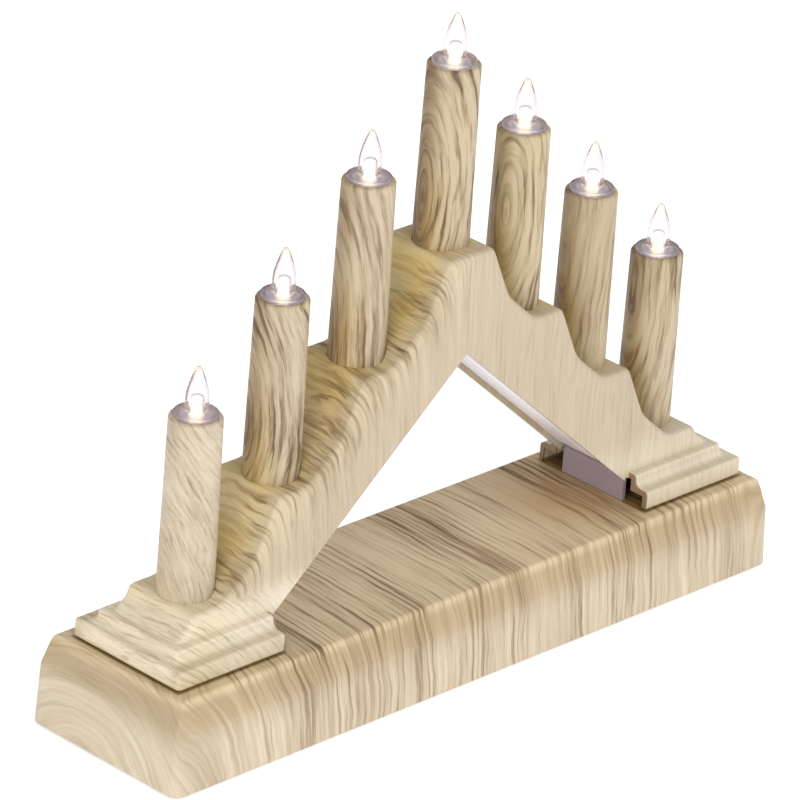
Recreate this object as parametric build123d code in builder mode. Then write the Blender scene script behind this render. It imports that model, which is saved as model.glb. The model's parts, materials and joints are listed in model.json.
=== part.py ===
from build123d import *
from math import atan, cos, degrees, radians
import os

os.makedirs("parts", exist_ok=True)

# Candle arch: seven flame lights on a stepped arch over a battery base.
# Millimetres. X runs along the base, the front faces -Y, Z is up.
# The origin lies on the floor under the middle of the base.

# General sizes
overrun = 1.0
snug_gap = 0.05
slide_gap = 0.1
loose_gap = 0.2

# Base housing
base_length = 220.0
side_room = 3.6
head_room = 4.9
wall_draft = 0.73
shoulder_rise = 8.5
shoulder_inset = 2.95
base_corner = 3.0
base_wall = 1.9
deck_wall = 2.0
deck_round = 1.4
shoulder_round = 3.0
inner_corner = 1.0
rim_step = 0.9
pad_lift = 0.8

# Base plate
plate_recess = 0.4
plate_thick = 1.8
plate_gap = 0.15
screw_end_gap = 9.0
screw_side_gap = 8.75
middle_screw_gap = 8.5
cup_radius = 4.0
cup_height = 3.8
cup_floor = 1.4
boss_radius = 3.0
pilot_depth = 10.0

# Screws
screw_radius = 1.4
screw_head_radius = 2.6
screw_head_thick = 1.6
screw_recess_sides = 6
plate_screw_length = 9.0
arch_screw_length = 9.0
screw_hole_radius = 1.7

# Rubber pads
pad_radius = 4.0
pad_thick = 1.9
pad_end_gap = 22.0
pad_side_gap = 7.75
pad_round = 0.4

# Battery tray and cells
cell_radius = 7.25
cell_body_length = 49.2
cell_nub_radius = 2.75
cell_nub_length = 1.3
cell_ring_width = 1.2
cell_ring_height = 0.2
cell_gap = 0.4
spring_room = 3.6
tray_side_gap = 0.25
tray_wall = 1.25
tray_headroom = 0.3
tray_roof = 1.2
cradle_share = 0.54
cradle_thick = 1.6
cradle_drop = 3.2
ledge_length = 9.0
ledge_width = 0.8
ledge_thick = 1.0
ledge_end_gap = 11.75

# Battery cover
cover_thick = 1.6
cover_gap = 0.2
hook_side_gap = 10.4
hook_width = 6.0
hook_reach = 1.2
hook_thick = 1.0
hook_post = 1.2
hook_lift = 0.15
latch_width = 9.0
latch_thick = 1.2
latch_height = 2.0
latch_bump = 0.15
grip_radius = 5.5
grip_depth = 0.7
grip_rib_count = 5
grip_rib_pitch = 1.8
grip_rib_width = 0.8
grip_rib_length = 12.0
grip_rib_rise = 0.3
grip_rib_gap = 10.75

# Contacts
contact_thick = 0.4
contact_width = 10.4
contact_height = 10.7
tab_width = 2.4
tab_rise = 1.8
dimple_radius = 3.0
dimple_rise = 0.6
dimple_taper = 25.0
bow_half_width = 4.2
bow_thick = 0.35
bow_height = 5.0

# Circuit board with its parts
board_length = 34.0
board_width = 20.0
board_thick = 1.6
board_gap = 14.0
board_lift = 7.0
board_screw_edge = 3.8
board_screw_side = 3.4
board_screw_length = 6.0
board_screw_radius = 0.9
board_head_radius = 1.9
board_head_thick = 1.2
board_post_radius = 2.4
chip_length = 8.0
chip_width = 5.0
chip_thick = 1.5
chip_shift = 3.5
chip_pin_count = 4
chip_pin_pitch = 1.27
chip_pin_width = 0.45
chip_pin_reach = 1.0
chip_pin_thick = 0.3
resistor_length = 3.2
resistor_width = 1.6
resistor_thick = 0.7
resistor_count = 4
resistor_pitch = 3.4
resistor_side_gap = 3.0
resistor_shift = 1.0

# Slide switch
switch_shift = 11.0
switch_length = 12.0
switch_width = 6.0
switch_height = 5.0
switch_wall = 1.0
slot_length = 5.6
slot_width = 3.0
knob_length = 3.2
knob_width = 2.6
knob_recess = 0.4
knob_groove = 0.3
slider_block_length = 5.4
slider_block_width = 3.6
slider_block_thick = 1.4
slide_travel = 2.0
well_wall = 1.2
well_length = 15.0
well_width = 8.6
well_floor = 1.2
pin_radius = 0.4
pin_pitch = 2.5
pin_rise = 2.2

# Candle tubes and their sockets
tube_height = 49.6
tube_foot_radius = 7.53
tube_top_radius = 7.05
tube_rim_round = 0.8
tube_bore = 5.3
tube_floor = 1.6
spigot_radius = 5.0
spigot_length = 5.0
spigot_bore = 3.6
pocket_gap = 0.1
socket_wall = 1.25
socket_rise = 7.0
sleeve_radius = 6.4
sleeve_depth = 6.0

# Arch outline, given by each candle's seat and the step down to the next
side_steps = 3
step_height = 25.1
end_seat_rise = 6.3
foot_candle_gap = 19.55
seat_rim = 0.4
cove_run = 7.27
cove_share = 0.6295
cove_end_gap = 2.1
nose_round = 2.3
cove_high_round = 13.0
cove_low_round = 8.0
last_drop = 3.1
last_cove_gap = 4.95
last_cove_sink = 0.6
last_cove_round = 2.6
apex_thick = 27.6
foot_opening = 5.79
arch_half_depth = 12.6
arch_edge_round = 1.9
shell_wall = 1.35

# Plinth moulding round each foot
foot_end_gap = 6.15
foot_length = 37.25
low_tier_rise = 5.5
low_tier_reach = 4.5
high_tier_rise = 3.3
high_tier_reach = 2.6
high_tier_end = 3.55
shadow_height = 0.6
shadow_inset = 1.1
low_tier_round = 1.0
tier_cove = 2.2
high_tier_round = 0.9
plinth_corner = 1.2

# Bosses and inner ribs of the arch
arch_boss_radius = 3.0
arch_boss_height = 12.0
arch_pilot_depth = 9.0
boss_end_gap = 11.85
boss_side_gap = 3.6
stay_thick = 1.4
stay_reach = 2.8
stay_height = 9.0
stay_shares = (0.64, 1.67)

# Soffit strip
soffit_gap = 0.15
soffit_recess = 1.35
soffit_thick = 1.2

# Flame lens
flange_lip = 0.55
flange_thick = 1.15
flange_round = 0.35
flame_foot_radius = 2.9
flame_belly_radius = 3.05
flame_belly_share = 0.331
flame_height = 13.6
flame_tip_radius = 0.45
flame_shoulder_radius = 2.1
flame_shoulder_share = 0.706
lens_skirt_wall = 0.95
lens_skirt_length = 4.0
lens_bore_height = 6.2

# Light-emitting diodes
led_radius = 1.5
led_body_height = 3.6
led_collar_radius = 1.9
led_collar_thick = 1.0
led_lead_width = 0.5
led_lead_pitch = 1.27
led_lead_length = 6.0

# Wires
lead_radius = 0.6
loom_radius = 0.9
branch_radius = 0.7
loom_bend = 3.0
loom_lift = 5.0
loom_foot_lift = 5.2
loom_step_in = 3.8
loom_board_shift = 8.0
loom_board_y = -7.0
loom_board_rise = 6.0
deck_gate_radius = 2.5
lead_bend = 2.5
lead_straight = 7.25
lead_edge = 2.2
lead_board_y = 2.4
lead_board_rise = 4.0

# Derived levels
rim_z = pad_lift
plate_z = rim_z + plate_recess
plate_top_z = plate_z + plate_thick
cup_top_z = plate_z + cup_height
cover_top_z = plate_z + cover_thick
cell_z = plate_top_z + cell_radius
tray_ceiling_z = cell_z + cell_radius + tray_headroom
tray_top_z = tray_ceiling_z + tray_roof
ceiling_z = tray_top_z + head_room
deck_z = ceiling_z + deck_wall
shoulder_z = deck_z - shoulder_rise
low_tier_z = deck_z + low_tier_rise
high_tier_z = low_tier_z + high_tier_rise
last_cove_z = high_tier_z - last_cove_sink
top_seat_z = high_tier_z + end_seat_rise + side_steps * step_height
under_apex_z = top_seat_z - apex_thick
board_z = plate_top_z + board_lift
board_top_z = board_z + board_thick
well_top_z = board_z - switch_height
knob_z = plate_z + knob_recess

# Derived sizes of the battery tray
cell_pitch = 2 * cell_radius + cell_gap
tray_length = cell_body_length + cell_nub_length + spring_room + dimple_rise + 2 * contact_thick
tray_width = 2 * (cell_pitch + cell_radius + tray_side_gap)
tray_half = tray_length / 2
tray_half_width = tray_width / 2
cell_rows = (-cell_pitch, 0, cell_pitch)
plus_end = tray_half - contact_thick - dimple_rise
body_end = plus_end - cell_nub_length
minus_end = cell_body_length - body_end
cradle_x = cradle_share * tray_half
ledge_x = tray_half - ledge_end_gap
grip_rib_x = tray_half - grip_rib_gap
hook_y = tray_half_width - hook_side_gap

# Derived sizes of the base
base_depth = tray_width + 2 * (tray_wall + side_room)
shoulder_height = shoulder_z - rim_z
shoulder_length = base_length - 2 * wall_draft
shoulder_depth = base_depth - 2 * wall_draft
wall_angle = degrees(atan(wall_draft / shoulder_height))
shoulder_angle = degrees(atan(shoulder_inset / shoulder_rise))
rim_inset = base_wall - rim_step
plate_screw_x = base_length / 2 - screw_end_gap
plate_screw_y = base_depth / 2 - screw_side_gap
middle_screw_x = tray_half + tray_wall + middle_screw_gap
pad_x = base_length / 2 - pad_end_gap
pad_y = base_depth / 2 - pad_side_gap

# Derived places on the circuit board
board_start_x = tray_half + tray_wall + board_gap
board_x = board_start_x + board_length / 2
board_screw_x = board_start_x + board_screw_edge
board_screw_y = board_width / 2 - board_screw_side
chip_x = board_x - chip_shift
resistor_x = board_x - resistor_shift
resistor_y = board_width / 2 - resistor_side_gap
switch_x = board_x + switch_shift
lead_turn_x = tray_half + lead_straight
lead_board_x = board_start_x + lead_edge
loom_board_x = board_x + loom_board_shift

# Derived sizes of the arch
foot_outer_x = base_length / 2 - foot_end_gap
foot_inner_x = foot_outer_x - foot_length
candle_pitch = (foot_outer_x - foot_candle_gap) / side_steps
end_candle_x = side_steps * candle_pitch
nose_reach = tube_foot_radius + seat_rim
cove_start_reach = nose_reach + cove_run
cove_start_drop = cove_share * step_height
cove_end_reach = candle_pitch - cove_end_gap
last_cove_x = foot_outer_x - last_cove_gap
under_slope = (under_apex_z - deck_z - foot_opening) / foot_inner_x
under_angle = atan(under_slope)
high_tier_half = arch_half_depth + high_tier_reach
low_tier_half = high_tier_half + low_tier_reach
high_tier_x = foot_outer_x - high_tier_end
arch_boss_x = foot_outer_x - boss_end_gap
arch_boss_y = arch_half_depth - boss_side_gap
stay_x = [share * candle_pitch for share in stay_shares]
soffit_half_width = arch_half_depth - shell_wall - soffit_gap
pocket_radius = tube_foot_radius + pocket_gap
socket_radius = pocket_radius + socket_wall
loom_foot_x = end_candle_x - loom_step_in
candle_numbers = range(-side_steps, side_steps + 1)

# Derived sizes of the lenses
flange_radius = tube_bore + flange_lip
lens_skirt_radius = tube_bore - snug_gap
lens_skirt_bore = lens_skirt_radius - lens_skirt_wall
lens_bore = led_radius + slide_gap
flame_belly_height = flame_belly_share * flame_height
flame_shoulder_height = flame_shoulder_share * flame_height


def seat_z(number):
    """Height of a candle's seat, counted from the middle candle."""
    return top_seat_z - step_height * abs(number)


def under_z(x):
    """Height of the legs' underside at a distance from the middle."""
    return under_apex_z - under_slope * abs(x)


def soffit_z(x, depth):
    """Height of a plane that lies inside the legs, parallel to the underside."""
    return under_z(x) + depth / cos(under_angle)


def save(block, name):
    """Label a finished piece and write it out."""
    block.part.label = name
    export_step(block.part, f"parts/{name}.step")


def save_copy(part, name, location):
    """Write a piece that repeats, moved to its place."""
    placed = part.moved(location)
    placed.label = name
    export_step(placed, f"parts/{name}.step")


# Base housing: drafted box with a steep shoulder, open underneath
plate_screw_spots = [
    (side * plate_screw_x, row * plate_screw_y) for side in (-1, 1) for row in (-1, 1)
]
plate_screw_spots = plate_screw_spots + [(-middle_screw_x, 0), (middle_screw_x, 0)]
arch_screw_spots = [(side * arch_boss_x, row * arch_boss_y) for side in (-1, 1) for row in (-1, 1)]

with BuildPart() as base_housing:
    with BuildSketch(Plane.XY.offset(rim_z)):
        RectangleRounded(base_length, base_depth, base_corner)
    extrude(amount=shoulder_height, taper=wall_angle)
    extrude(base_housing.faces().sort_by(Axis.Z)[-1], amount=shoulder_rise, taper=shoulder_angle)
    fillet(base_housing.edges().group_by(Axis.Z)[-1], deck_round)
    fillet(
        base_housing.edges().filter_by(lambda edge: abs(edge.center().Z - shoulder_z) < snug_gap),
        shoulder_round,
    )
    with BuildSketch(Plane.XY.offset(rim_z)):
        RectangleRounded(base_length - 2 * base_wall, base_depth - 2 * base_wall, inner_corner)
    extrude(amount=shoulder_height, taper=wall_angle, mode=Mode.SUBTRACT)
    with BuildSketch(Plane.XY.offset(shoulder_z)):
        RectangleRounded(shoulder_length - 2 * base_wall, shoulder_depth - 2 * base_wall, inner_corner)
    extrude(amount=shoulder_rise - deck_wall, taper=shoulder_angle, mode=Mode.SUBTRACT)
    with BuildSketch(Plane.XY.offset(rim_z - overrun)):
        RectangleRounded(base_length - 2 * rim_inset, base_depth - 2 * rim_inset, base_corner - rim_inset)
    extrude(amount=overrun + plate_recess + plate_thick, mode=Mode.SUBTRACT)
    with BuildSketch(Plane.XY.offset(cup_top_z)):
        with Locations(*plate_screw_spots):
            Circle(boss_radius)
    extrude(amount=ceiling_z - cup_top_z)
    with BuildSketch(Plane.XY.offset(cup_top_z)):
        with Locations(*plate_screw_spots):
            Circle(screw_radius + snug_gap)
    extrude(amount=pilot_depth, mode=Mode.SUBTRACT)
    with BuildSketch(Plane.XY.offset(ceiling_z)):
        with Locations(*arch_screw_spots):
            Circle(screw_hole_radius)
        with Locations((loom_foot_x, 0)):
            Circle(deck_gate_radius)
    extrude(amount=deck_wall, mode=Mode.SUBTRACT)
save(base_housing, "base_housing")

# Base plate with the battery tray, the switch well and the board posts
pad_spots = [(side * pad_x, row * pad_y) for side in (-1, 1) for row in (-1, 1)]
board_screw_spots = [(board_screw_x, -board_screw_y), (board_screw_x, board_screw_y)]

with BuildPart() as base_plate:
    with BuildSketch(Plane.XY.offset(plate_z)):
        RectangleRounded(
            base_length - 2 * (rim_inset + plate_gap),
            base_depth - 2 * (rim_inset + plate_gap),
            base_corner - rim_inset,
        )
    extrude(amount=plate_thick)
    with BuildSketch(Plane.XY.offset(plate_z)):
        Rectangle(tray_length + 2 * tray_wall, tray_width + 2 * tray_wall)
    extrude(amount=tray_top_z - plate_z)
    with BuildSketch(Plane.XY.offset(plate_z - overrun)):
        Rectangle(tray_length, tray_width)
    extrude(amount=tray_ceiling_z - plate_z + overrun, mode=Mode.SUBTRACT)
    with BuildSketch(Plane.XY.offset(tray_ceiling_z - cradle_drop)):
        with Locations((-cradle_x, 0), (cradle_x, 0)):
            Rectangle(cradle_thick, tray_width)
    extrude(amount=cradle_drop)
    with BuildSketch(Plane.XY.offset(cover_top_z + snug_gap)):
        with GridLocations(2 * ledge_x, tray_width, 2, 2):
            Rectangle(ledge_length, 2 * ledge_width)
    extrude(amount=ledge_thick)
    with BuildSketch(Plane.YZ.offset(-tray_half)):
        with Locations(*[(row, cell_z) for row in cell_rows]):
            Circle(cell_radius + snug_gap)
    extrude(amount=tray_length, mode=Mode.SUBTRACT)
    with BuildSketch(Plane.XY.offset(tray_ceiling_z - overrun)):
        with Locations(
            (tray_half - contact_thick / 2, -cell_pitch),
            (contact_thick / 2 - tray_half, cell_pitch),
        ):
            Rectangle(contact_thick + 2 * slide_gap, tab_width + 2 * slide_gap)
    extrude(amount=overrun + tray_roof, mode=Mode.SUBTRACT)
    with BuildSketch(Plane.XY.offset(plate_top_z)):
        with Locations((-tray_half - tray_wall / 2, -hook_y), (-tray_half - tray_wall / 2, hook_y)):
            Rectangle(tray_wall + 2 * slide_gap, hook_width + 2 * loose_gap)
    extrude(amount=hook_lift + hook_thick + 2 * loose_gap, mode=Mode.SUBTRACT)
    with BuildSketch(Plane.XY.offset(plate_z)):
        with Locations(*plate_screw_spots):
            Circle(cup_radius)
    extrude(amount=cup_height)
    with BuildSketch(Plane.XY.offset(plate_z - overrun)):
        with Locations(*plate_screw_spots):
            Circle(screw_head_radius + loose_gap)
    extrude(amount=overrun + cup_height - cup_floor, mode=Mode.SUBTRACT)
    with BuildSketch(Plane.XY.offset(plate_z)):
        with Locations(*plate_screw_spots):
            Circle(screw_hole_radius)
    extrude(amount=cup_height + overrun, mode=Mode.SUBTRACT)
    with BuildSketch(Plane.XY.offset(plate_z - overrun)):
        with Locations(*pad_spots):
            Circle(pad_radius + snug_gap)
    extrude(amount=overrun + pad_thick - plate_z, mode=Mode.SUBTRACT)
    with BuildSketch(Plane.XY.offset(plate_z)):
        with Locations((switch_x, 0)):
            Rectangle(well_length + 2 * well_wall, well_width + 2 * well_wall)
    extrude(amount=well_top_z - plate_z)
    with BuildSketch(Plane.XY.offset(plate_z - overrun)):
        with Locations((switch_x, 0)):
            Rectangle(well_length, well_width)
    extrude(amount=overrun + well_top_z - plate_z - well_floor, mode=Mode.SUBTRACT)
    with BuildSketch(Plane.XY.offset(plate_z)):
        with Locations((switch_x, 0)):
            Rectangle(slot_length, slot_width)
    extrude(amount=well_top_z - plate_z + overrun, mode=Mode.SUBTRACT)
    with BuildSketch(Plane.XY.offset(plate_z)):
        with Locations(*board_screw_spots):
            Circle(board_post_radius)
    extrude(amount=board_z - plate_z)
    with BuildSketch(Plane.XY.offset(plate_top_z)):
        with Locations(*board_screw_spots):
            Circle(board_screw_radius + snug_gap)
    extrude(amount=board_z - plate_top_z, mode=Mode.SUBTRACT)
    with BuildSketch(Plane.XY.offset(plate_z - overrun)):
        with Locations((tray_half, 0)):
            Circle(grip_radius)
    extrude(amount=overrun + grip_depth, mode=Mode.SUBTRACT)
save(base_plate, "base_plate")


def pan_screw(length, shank, head, thick):
    """Screw with its head below its origin and its shank upwards."""
    with BuildPart() as screw:
        with BuildSketch(Plane.XY.offset(-thick)):
            Circle(head)
        extrude(amount=thick)
        fillet(screw.edges().group_by(Axis.Z)[0], thick / 3)
        with BuildSketch(Plane.XY):
            Circle(shank)
        extrude(amount=length)
        chamfer(screw.edges().group_by(Axis.Z)[-1], shank / 2)
        with BuildSketch(Plane.XY.offset(-thick)):
            RegularPolygon(head / 2, screw_recess_sides)
        extrude(amount=thick / 2, mode=Mode.SUBTRACT)
    return screw.part


# Six screws hold the base plate
plate_screw = pan_screw(plate_screw_length, screw_radius, screw_head_radius, screw_head_thick)
with BuildPart() as base_screws:
    with Locations(*[(x, y, cup_top_z - cup_floor) for x, y in plate_screw_spots]):
        add(plate_screw)
save(base_screws, "base_screws")

# Four screws hold the arch on the base
arch_screw = pan_screw(arch_screw_length, screw_radius, screw_head_radius, screw_head_thick)
with BuildPart() as arch_screws:
    with Locations(*[(x, y, ceiling_z) for x, y in arch_screw_spots]):
        add(arch_screw)
save(arch_screws, "arch_screws")

# Four rubber pads under the corners
with BuildPart() as rubber_pads:
    with BuildSketch(Plane.XY):
        with Locations(*pad_spots):
            Circle(pad_radius)
    extrude(amount=pad_thick)
    fillet(rubber_pads.edges().group_by(Axis.Z)[0], pad_round)
save(rubber_pads, "rubber_pads")

# Battery cover with two hooks at its left end and a latch at its right end
cover_half = tray_half - cover_gap
cover_half_width = tray_half_width - cover_gap
hook_base_z = plate_top_z + hook_lift
hook_top_z = hook_base_z + hook_thick

with BuildPart() as battery_cover:
    with BuildSketch(Plane.XY.offset(plate_z)):
        Rectangle(2 * cover_half, 2 * cover_half_width)
    extrude(amount=cover_thick)
    with BuildSketch(Plane.XY.offset(plate_z - overrun)):
        with Locations((tray_half, 0)):
            Circle(grip_radius)
    extrude(amount=overrun + grip_depth, mode=Mode.SUBTRACT)
    with BuildSketch(Plane.XY.offset(cover_top_z)):
        with Locations((hook_post / 2 - cover_half, -hook_y), (hook_post / 2 - cover_half, hook_y)):
            Rectangle(hook_post, hook_width)
    extrude(amount=hook_top_z - cover_top_z)
    with BuildSketch(Plane.XY.offset(hook_base_z)):
        with Locations((-cover_half, -hook_y), (-cover_half, hook_y)):
            Rectangle(2 * hook_reach, hook_width)
    extrude(amount=hook_thick)
    with BuildSketch(Plane.XY.offset(cover_top_z)):
        with Locations((cover_half - latch_thick / 2, 0)):
            Rectangle(latch_thick, latch_width)
    extrude(amount=latch_height)
    with BuildSketch(Plane.XZ):
        with Locations((cover_half, cover_top_z + latch_height - latch_thick)):
            Circle(latch_bump)
    extrude(amount=latch_width / 3, both=True)
    with BuildSketch(Plane.XY.offset(plate_z)):
        with Locations((grip_rib_x, 0)):
            with GridLocations(grip_rib_pitch, 0, grip_rib_count, 1):
                Rectangle(grip_rib_width, grip_rib_length)
    extrude(amount=-grip_rib_rise)
save(battery_cover, "battery_cover")

# AA cell standing on its flat end, origin in the middle of its body
with BuildPart() as cell:
    with BuildSketch(Plane.XZ):
        with BuildLine():
            half = cell_body_length / 2
            ring = cell_radius - cell_ring_width
            Polyline(
                (0, -half),
                (cell_radius, -half),
                (cell_radius, half),
                (ring, half),
                (ring, half - cell_ring_height),
                (cell_nub_radius, half - cell_ring_height),
                (cell_nub_radius, half + cell_nub_length),
                (0, half + cell_nub_length),
                close=True,
            )
        make_face()
    revolve(axis=Axis.Z)
    rounded = cell.edges().filter_by(GeomType.CIRCLE).filter_by(lambda edge: edge.radius > ring + snug_gap)
    fillet(rounded, cell_ring_width / 2)

# Three cells side by side, the middle one turned round
cell_middle = body_end - cell_body_length / 2
for number, row in enumerate(cell_rows):
    turn = -1 if row == 0 else 1
    spot = Location((turn * cell_middle, row, cell_z), (0, turn * 90, 0))
    save_copy(cell.part, f"battery_{number + 1}", spot)


# Contacts: flat plates on the tray's end walls, dimpled for the plus ends, bowed for the minus ends
def contact_plate(side, rows, plus_rows, minus_rows, tab_rows):
    """Contact on one end wall of the tray, over the given cell rows."""
    wall_plane = Plane.YZ.offset(side * tray_half)
    inwards = -side * contact_thick
    middle = sum(rows) / len(rows)
    width = max(rows) - min(rows) + contact_width
    face_x = side * (tray_half - contact_thick)
    bow_x = side * minus_end
    with BuildPart() as contact:
        with BuildSketch(wall_plane):
            with Locations((middle, cell_z)):
                Rectangle(width, contact_height)
            for row in tab_rows:
                with Locations((row, (cell_z + tray_top_z + tab_rise) / 2)):
                    Rectangle(tab_width, tray_top_z + tab_rise - cell_z)
        extrude(amount=inwards)
        for row in plus_rows:
            with BuildSketch(Plane.YZ.offset(face_x)):
                with Locations((row, cell_z)):
                    Circle(dimple_radius)
            extrude(amount=-side * dimple_rise, taper=dimple_taper)
        for row in minus_rows:
            with BuildSketch(Plane.XY.offset(cell_z - bow_height / 2)):
                with BuildLine():
                    ThreePointArc((face_x, row - bow_half_width), (bow_x, row), (face_x, row + bow_half_width))
                    Line((face_x, row + bow_half_width), (face_x, row + bow_half_width - bow_thick))
                    ThreePointArc(
                        (face_x, row + bow_half_width - bow_thick),
                        (bow_x + side * bow_thick, row),
                        (face_x, row - bow_half_width + bow_thick),
                    )
                    Line((face_x, row - bow_half_width + bow_thick), (face_x, row - bow_half_width))
                make_face()
            extrude(amount=bow_height)
    return contact


save(contact_plate(1, [-cell_pitch], [-cell_pitch], [], [-cell_pitch]), "contact_positive")
save(contact_plate(1, [0, cell_pitch], [cell_pitch], [0], []), "contact_link_right")
save(contact_plate(-1, [-cell_pitch, 0], [0], [-cell_pitch], []), "contact_link_left")
save(contact_plate(-1, [cell_pitch], [], [cell_pitch], [cell_pitch]), "contact_negative")

# Circuit board on two posts and the switch
switch_pin_spots = [(switch_x + index * pin_pitch, 0) for index in (-1, 0, 1)]

with BuildPart() as circuit_board:
    with BuildSketch(Plane.XY.offset(board_z)):
        with Locations((board_x, 0)):
            Rectangle(board_length, board_width)
        with Locations(*board_screw_spots):
            Circle(board_screw_radius + slide_gap, mode=Mode.SUBTRACT)
        with Locations(*switch_pin_spots):
            Circle(pin_radius + snug_gap, mode=Mode.SUBTRACT)
    extrude(amount=board_thick)
save(circuit_board, "circuit_board")

# Two small screws with their heads on top of the board
small_screw = pan_screw(board_screw_length, board_screw_radius, board_head_radius, board_head_thick)
with BuildPart() as board_screws:
    with Locations(*[Location((x, y, board_top_z), (180, 0, 0)) for x, y in board_screw_spots]):
        add(small_screw)
save(board_screws, "board_screws")

# Control chip with legs on both sides
with BuildPart() as control_chip:
    with BuildSketch(Plane.XY.offset(board_top_z + chip_pin_thick)):
        with Locations((chip_x, 0)):
            Rectangle(chip_length, chip_width)
    extrude(amount=chip_thick)
    chamfer(control_chip.edges().group_by(Axis.Z)[-1], chip_pin_thick)
    with BuildSketch(Plane.XY.offset(board_top_z)):
        with Locations((chip_x, 0)):
            with GridLocations(chip_pin_pitch, 0, chip_pin_count, 1):
                Rectangle(chip_pin_width, chip_width + 2 * chip_pin_reach)
    extrude(amount=2 * chip_pin_thick)
save(control_chip, "control_chip")

# Series resistors in a row
with BuildPart() as resistors:
    with BuildSketch(Plane.XY.offset(board_top_z)):
        with Locations((resistor_x, resistor_y)):
            with GridLocations(resistor_pitch, 0, resistor_count, 1):
                Rectangle(resistor_width, resistor_length)
    extrude(amount=resistor_thick)
save(resistors, "resistors")

# Slide switch under the board: case with three pins
case_inner_length = slider_block_length + slide_travel + 2 * slide_gap
case_inner_width = slider_block_width + 2 * slide_gap

with BuildPart() as switch_case:
    with BuildSketch(Plane.XY.offset(well_top_z)):
        with Locations((switch_x, 0)):
            Rectangle(switch_length, switch_width)
    extrude(amount=switch_height)
    with BuildSketch(Plane.XY.offset(well_top_z + switch_wall)):
        with Locations((switch_x, 0)):
            Rectangle(case_inner_length, case_inner_width)
    extrude(amount=slider_block_thick + 2 * slide_gap, mode=Mode.SUBTRACT)
    with BuildSketch(Plane.XY.offset(well_top_z)):
        with Locations((switch_x, 0)):
            Rectangle(slot_length, slot_width)
    extrude(amount=switch_wall + slide_gap, mode=Mode.SUBTRACT)
    with BuildSketch(Plane.XY.offset(board_z)):
        with Locations(*switch_pin_spots):
            Circle(pin_radius)
    extrude(amount=pin_rise)
save(switch_case, "switch_case")

# Switch slider, stored in its working position towards the right foot
slider_x = switch_x + slide_travel / 2

with BuildPart() as switch_slider:
    with BuildSketch(Plane.XY.offset(well_top_z + switch_wall + slide_gap)):
        with Locations((slider_x, 0)):
            Rectangle(slider_block_length, slider_block_width)
    extrude(amount=slider_block_thick)
    with BuildSketch(Plane.XY.offset(knob_z)):
        with Locations((slider_x, 0)):
            Rectangle(knob_length, knob_width)
    extrude(amount=well_top_z + switch_wall + slide_gap - knob_z)
    with BuildSketch(Plane.XY.offset(knob_z)):
        with Locations((slider_x, 0)):
            with GridLocations(3 * knob_groove, 0, 3, 1):
                Rectangle(knob_groove, knob_width)
    extrude(amount=knob_groove, mode=Mode.SUBTRACT)
save(switch_slider, "switch_slider")

# Battery leads over the tray's roof to the board
lead_z = tray_top_z + lead_radius
for name, start_x, side in (
    ("positive_lead", tray_half, -1),
    ("negative_lead", contact_thick - tray_half, 1),
):
    with BuildPart() as lead:
        with BuildLine():
            FilletPolyline(
                (start_x, side * cell_pitch, lead_z),
                (lead_turn_x, side * cell_pitch, lead_z),
                (lead_board_x, side * lead_board_y, board_top_z + lead_board_rise),
                (lead_board_x, side * lead_board_y, board_top_z),
                radius=lead_bend,
            )
        with BuildSketch(Plane.YZ.offset(start_x)):
            with Locations((side * cell_pitch, lead_z)):
                Circle(lead_radius)
        sweep()
    save(lead, name)


# Stepped outline of the arch, from its middle to one end
def stair_side():
    """Corner points and rounds of the stepped top on one side."""
    points = []
    rounds = []
    for number in range(side_steps):
        x = number * candle_pitch
        z = seat_z(number)
        points.append((x + nose_reach, z))
        points.append((x + cove_start_reach, z - cove_start_drop))
        points.append((x + cove_end_reach, z - step_height))
        rounds.append(nose_round)
        rounds.append(cove_high_round)
        rounds.append(cove_low_round)
    last_nose_x = side_steps * candle_pitch + nose_reach
    steepness = cove_start_drop / (cove_start_reach - nose_reach)
    points.append((last_nose_x, seat_z(side_steps)))
    points.append((last_nose_x + last_drop / steepness, seat_z(side_steps) - last_drop))
    points.append((last_cove_x, last_cove_z))
    rounds.append(nose_round)
    rounds.append(last_cove_round)
    rounds.append(0)
    return points, rounds


stair_points, stair_rounds = stair_side()
underside_x = (under_apex_z - deck_z) / under_slope
left_stairs = [(-x, z) for x, z in stair_points]

# Plinth of one foot: shadow joint, low tier and high tier with a cove between them
with BuildPart() as plinth:
    for half, reach, low_z, high_z in (
        (low_tier_half - shadow_inset, foot_outer_x - shadow_inset, deck_z, deck_z + shadow_height),
        (low_tier_half, foot_outer_x, deck_z + shadow_height, low_tier_z),
        (high_tier_half, high_tier_x, low_tier_z, high_tier_z),
    ):
        with BuildSketch(Plane.XY.offset(low_z)):
            with Locations(((foot_inner_x + reach) / 2, 0)):
                Rectangle(reach - foot_inner_x, 2 * half)
        extrude(amount=high_z - low_z)
    fillet(
        plinth.edges().filter_by(Axis.Z).filter_by(lambda edge: edge.center().X > foot_inner_x + overrun),
        plinth_corner,
    )
    ledge_edges = plinth.edges().filter_by(
        lambda edge: abs(edge.center().Z - low_tier_z) < snug_gap and edge.center().X > foot_inner_x + snug_gap
    )
    cove_edges = ledge_edges.filter_by(
        lambda edge: abs(edge.center().Y) < high_tier_half + snug_gap and edge.center().X < high_tier_x + snug_gap
    )
    rim_edges = ledge_edges.filter_by(
        lambda edge: abs(edge.center().Y) > high_tier_half + snug_gap or edge.center().X > high_tier_x + snug_gap
    )
    fillet(cove_edges, tier_cove)
    fillet(rim_edges, low_tier_round)
    fillet(
        plinth.edges().group_by(Axis.Z)[-1].filter_by(lambda edge: edge.center().X > foot_inner_x + snug_gap),
        high_tier_round,
    )
    mirror(about=Plane.YZ)

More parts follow.
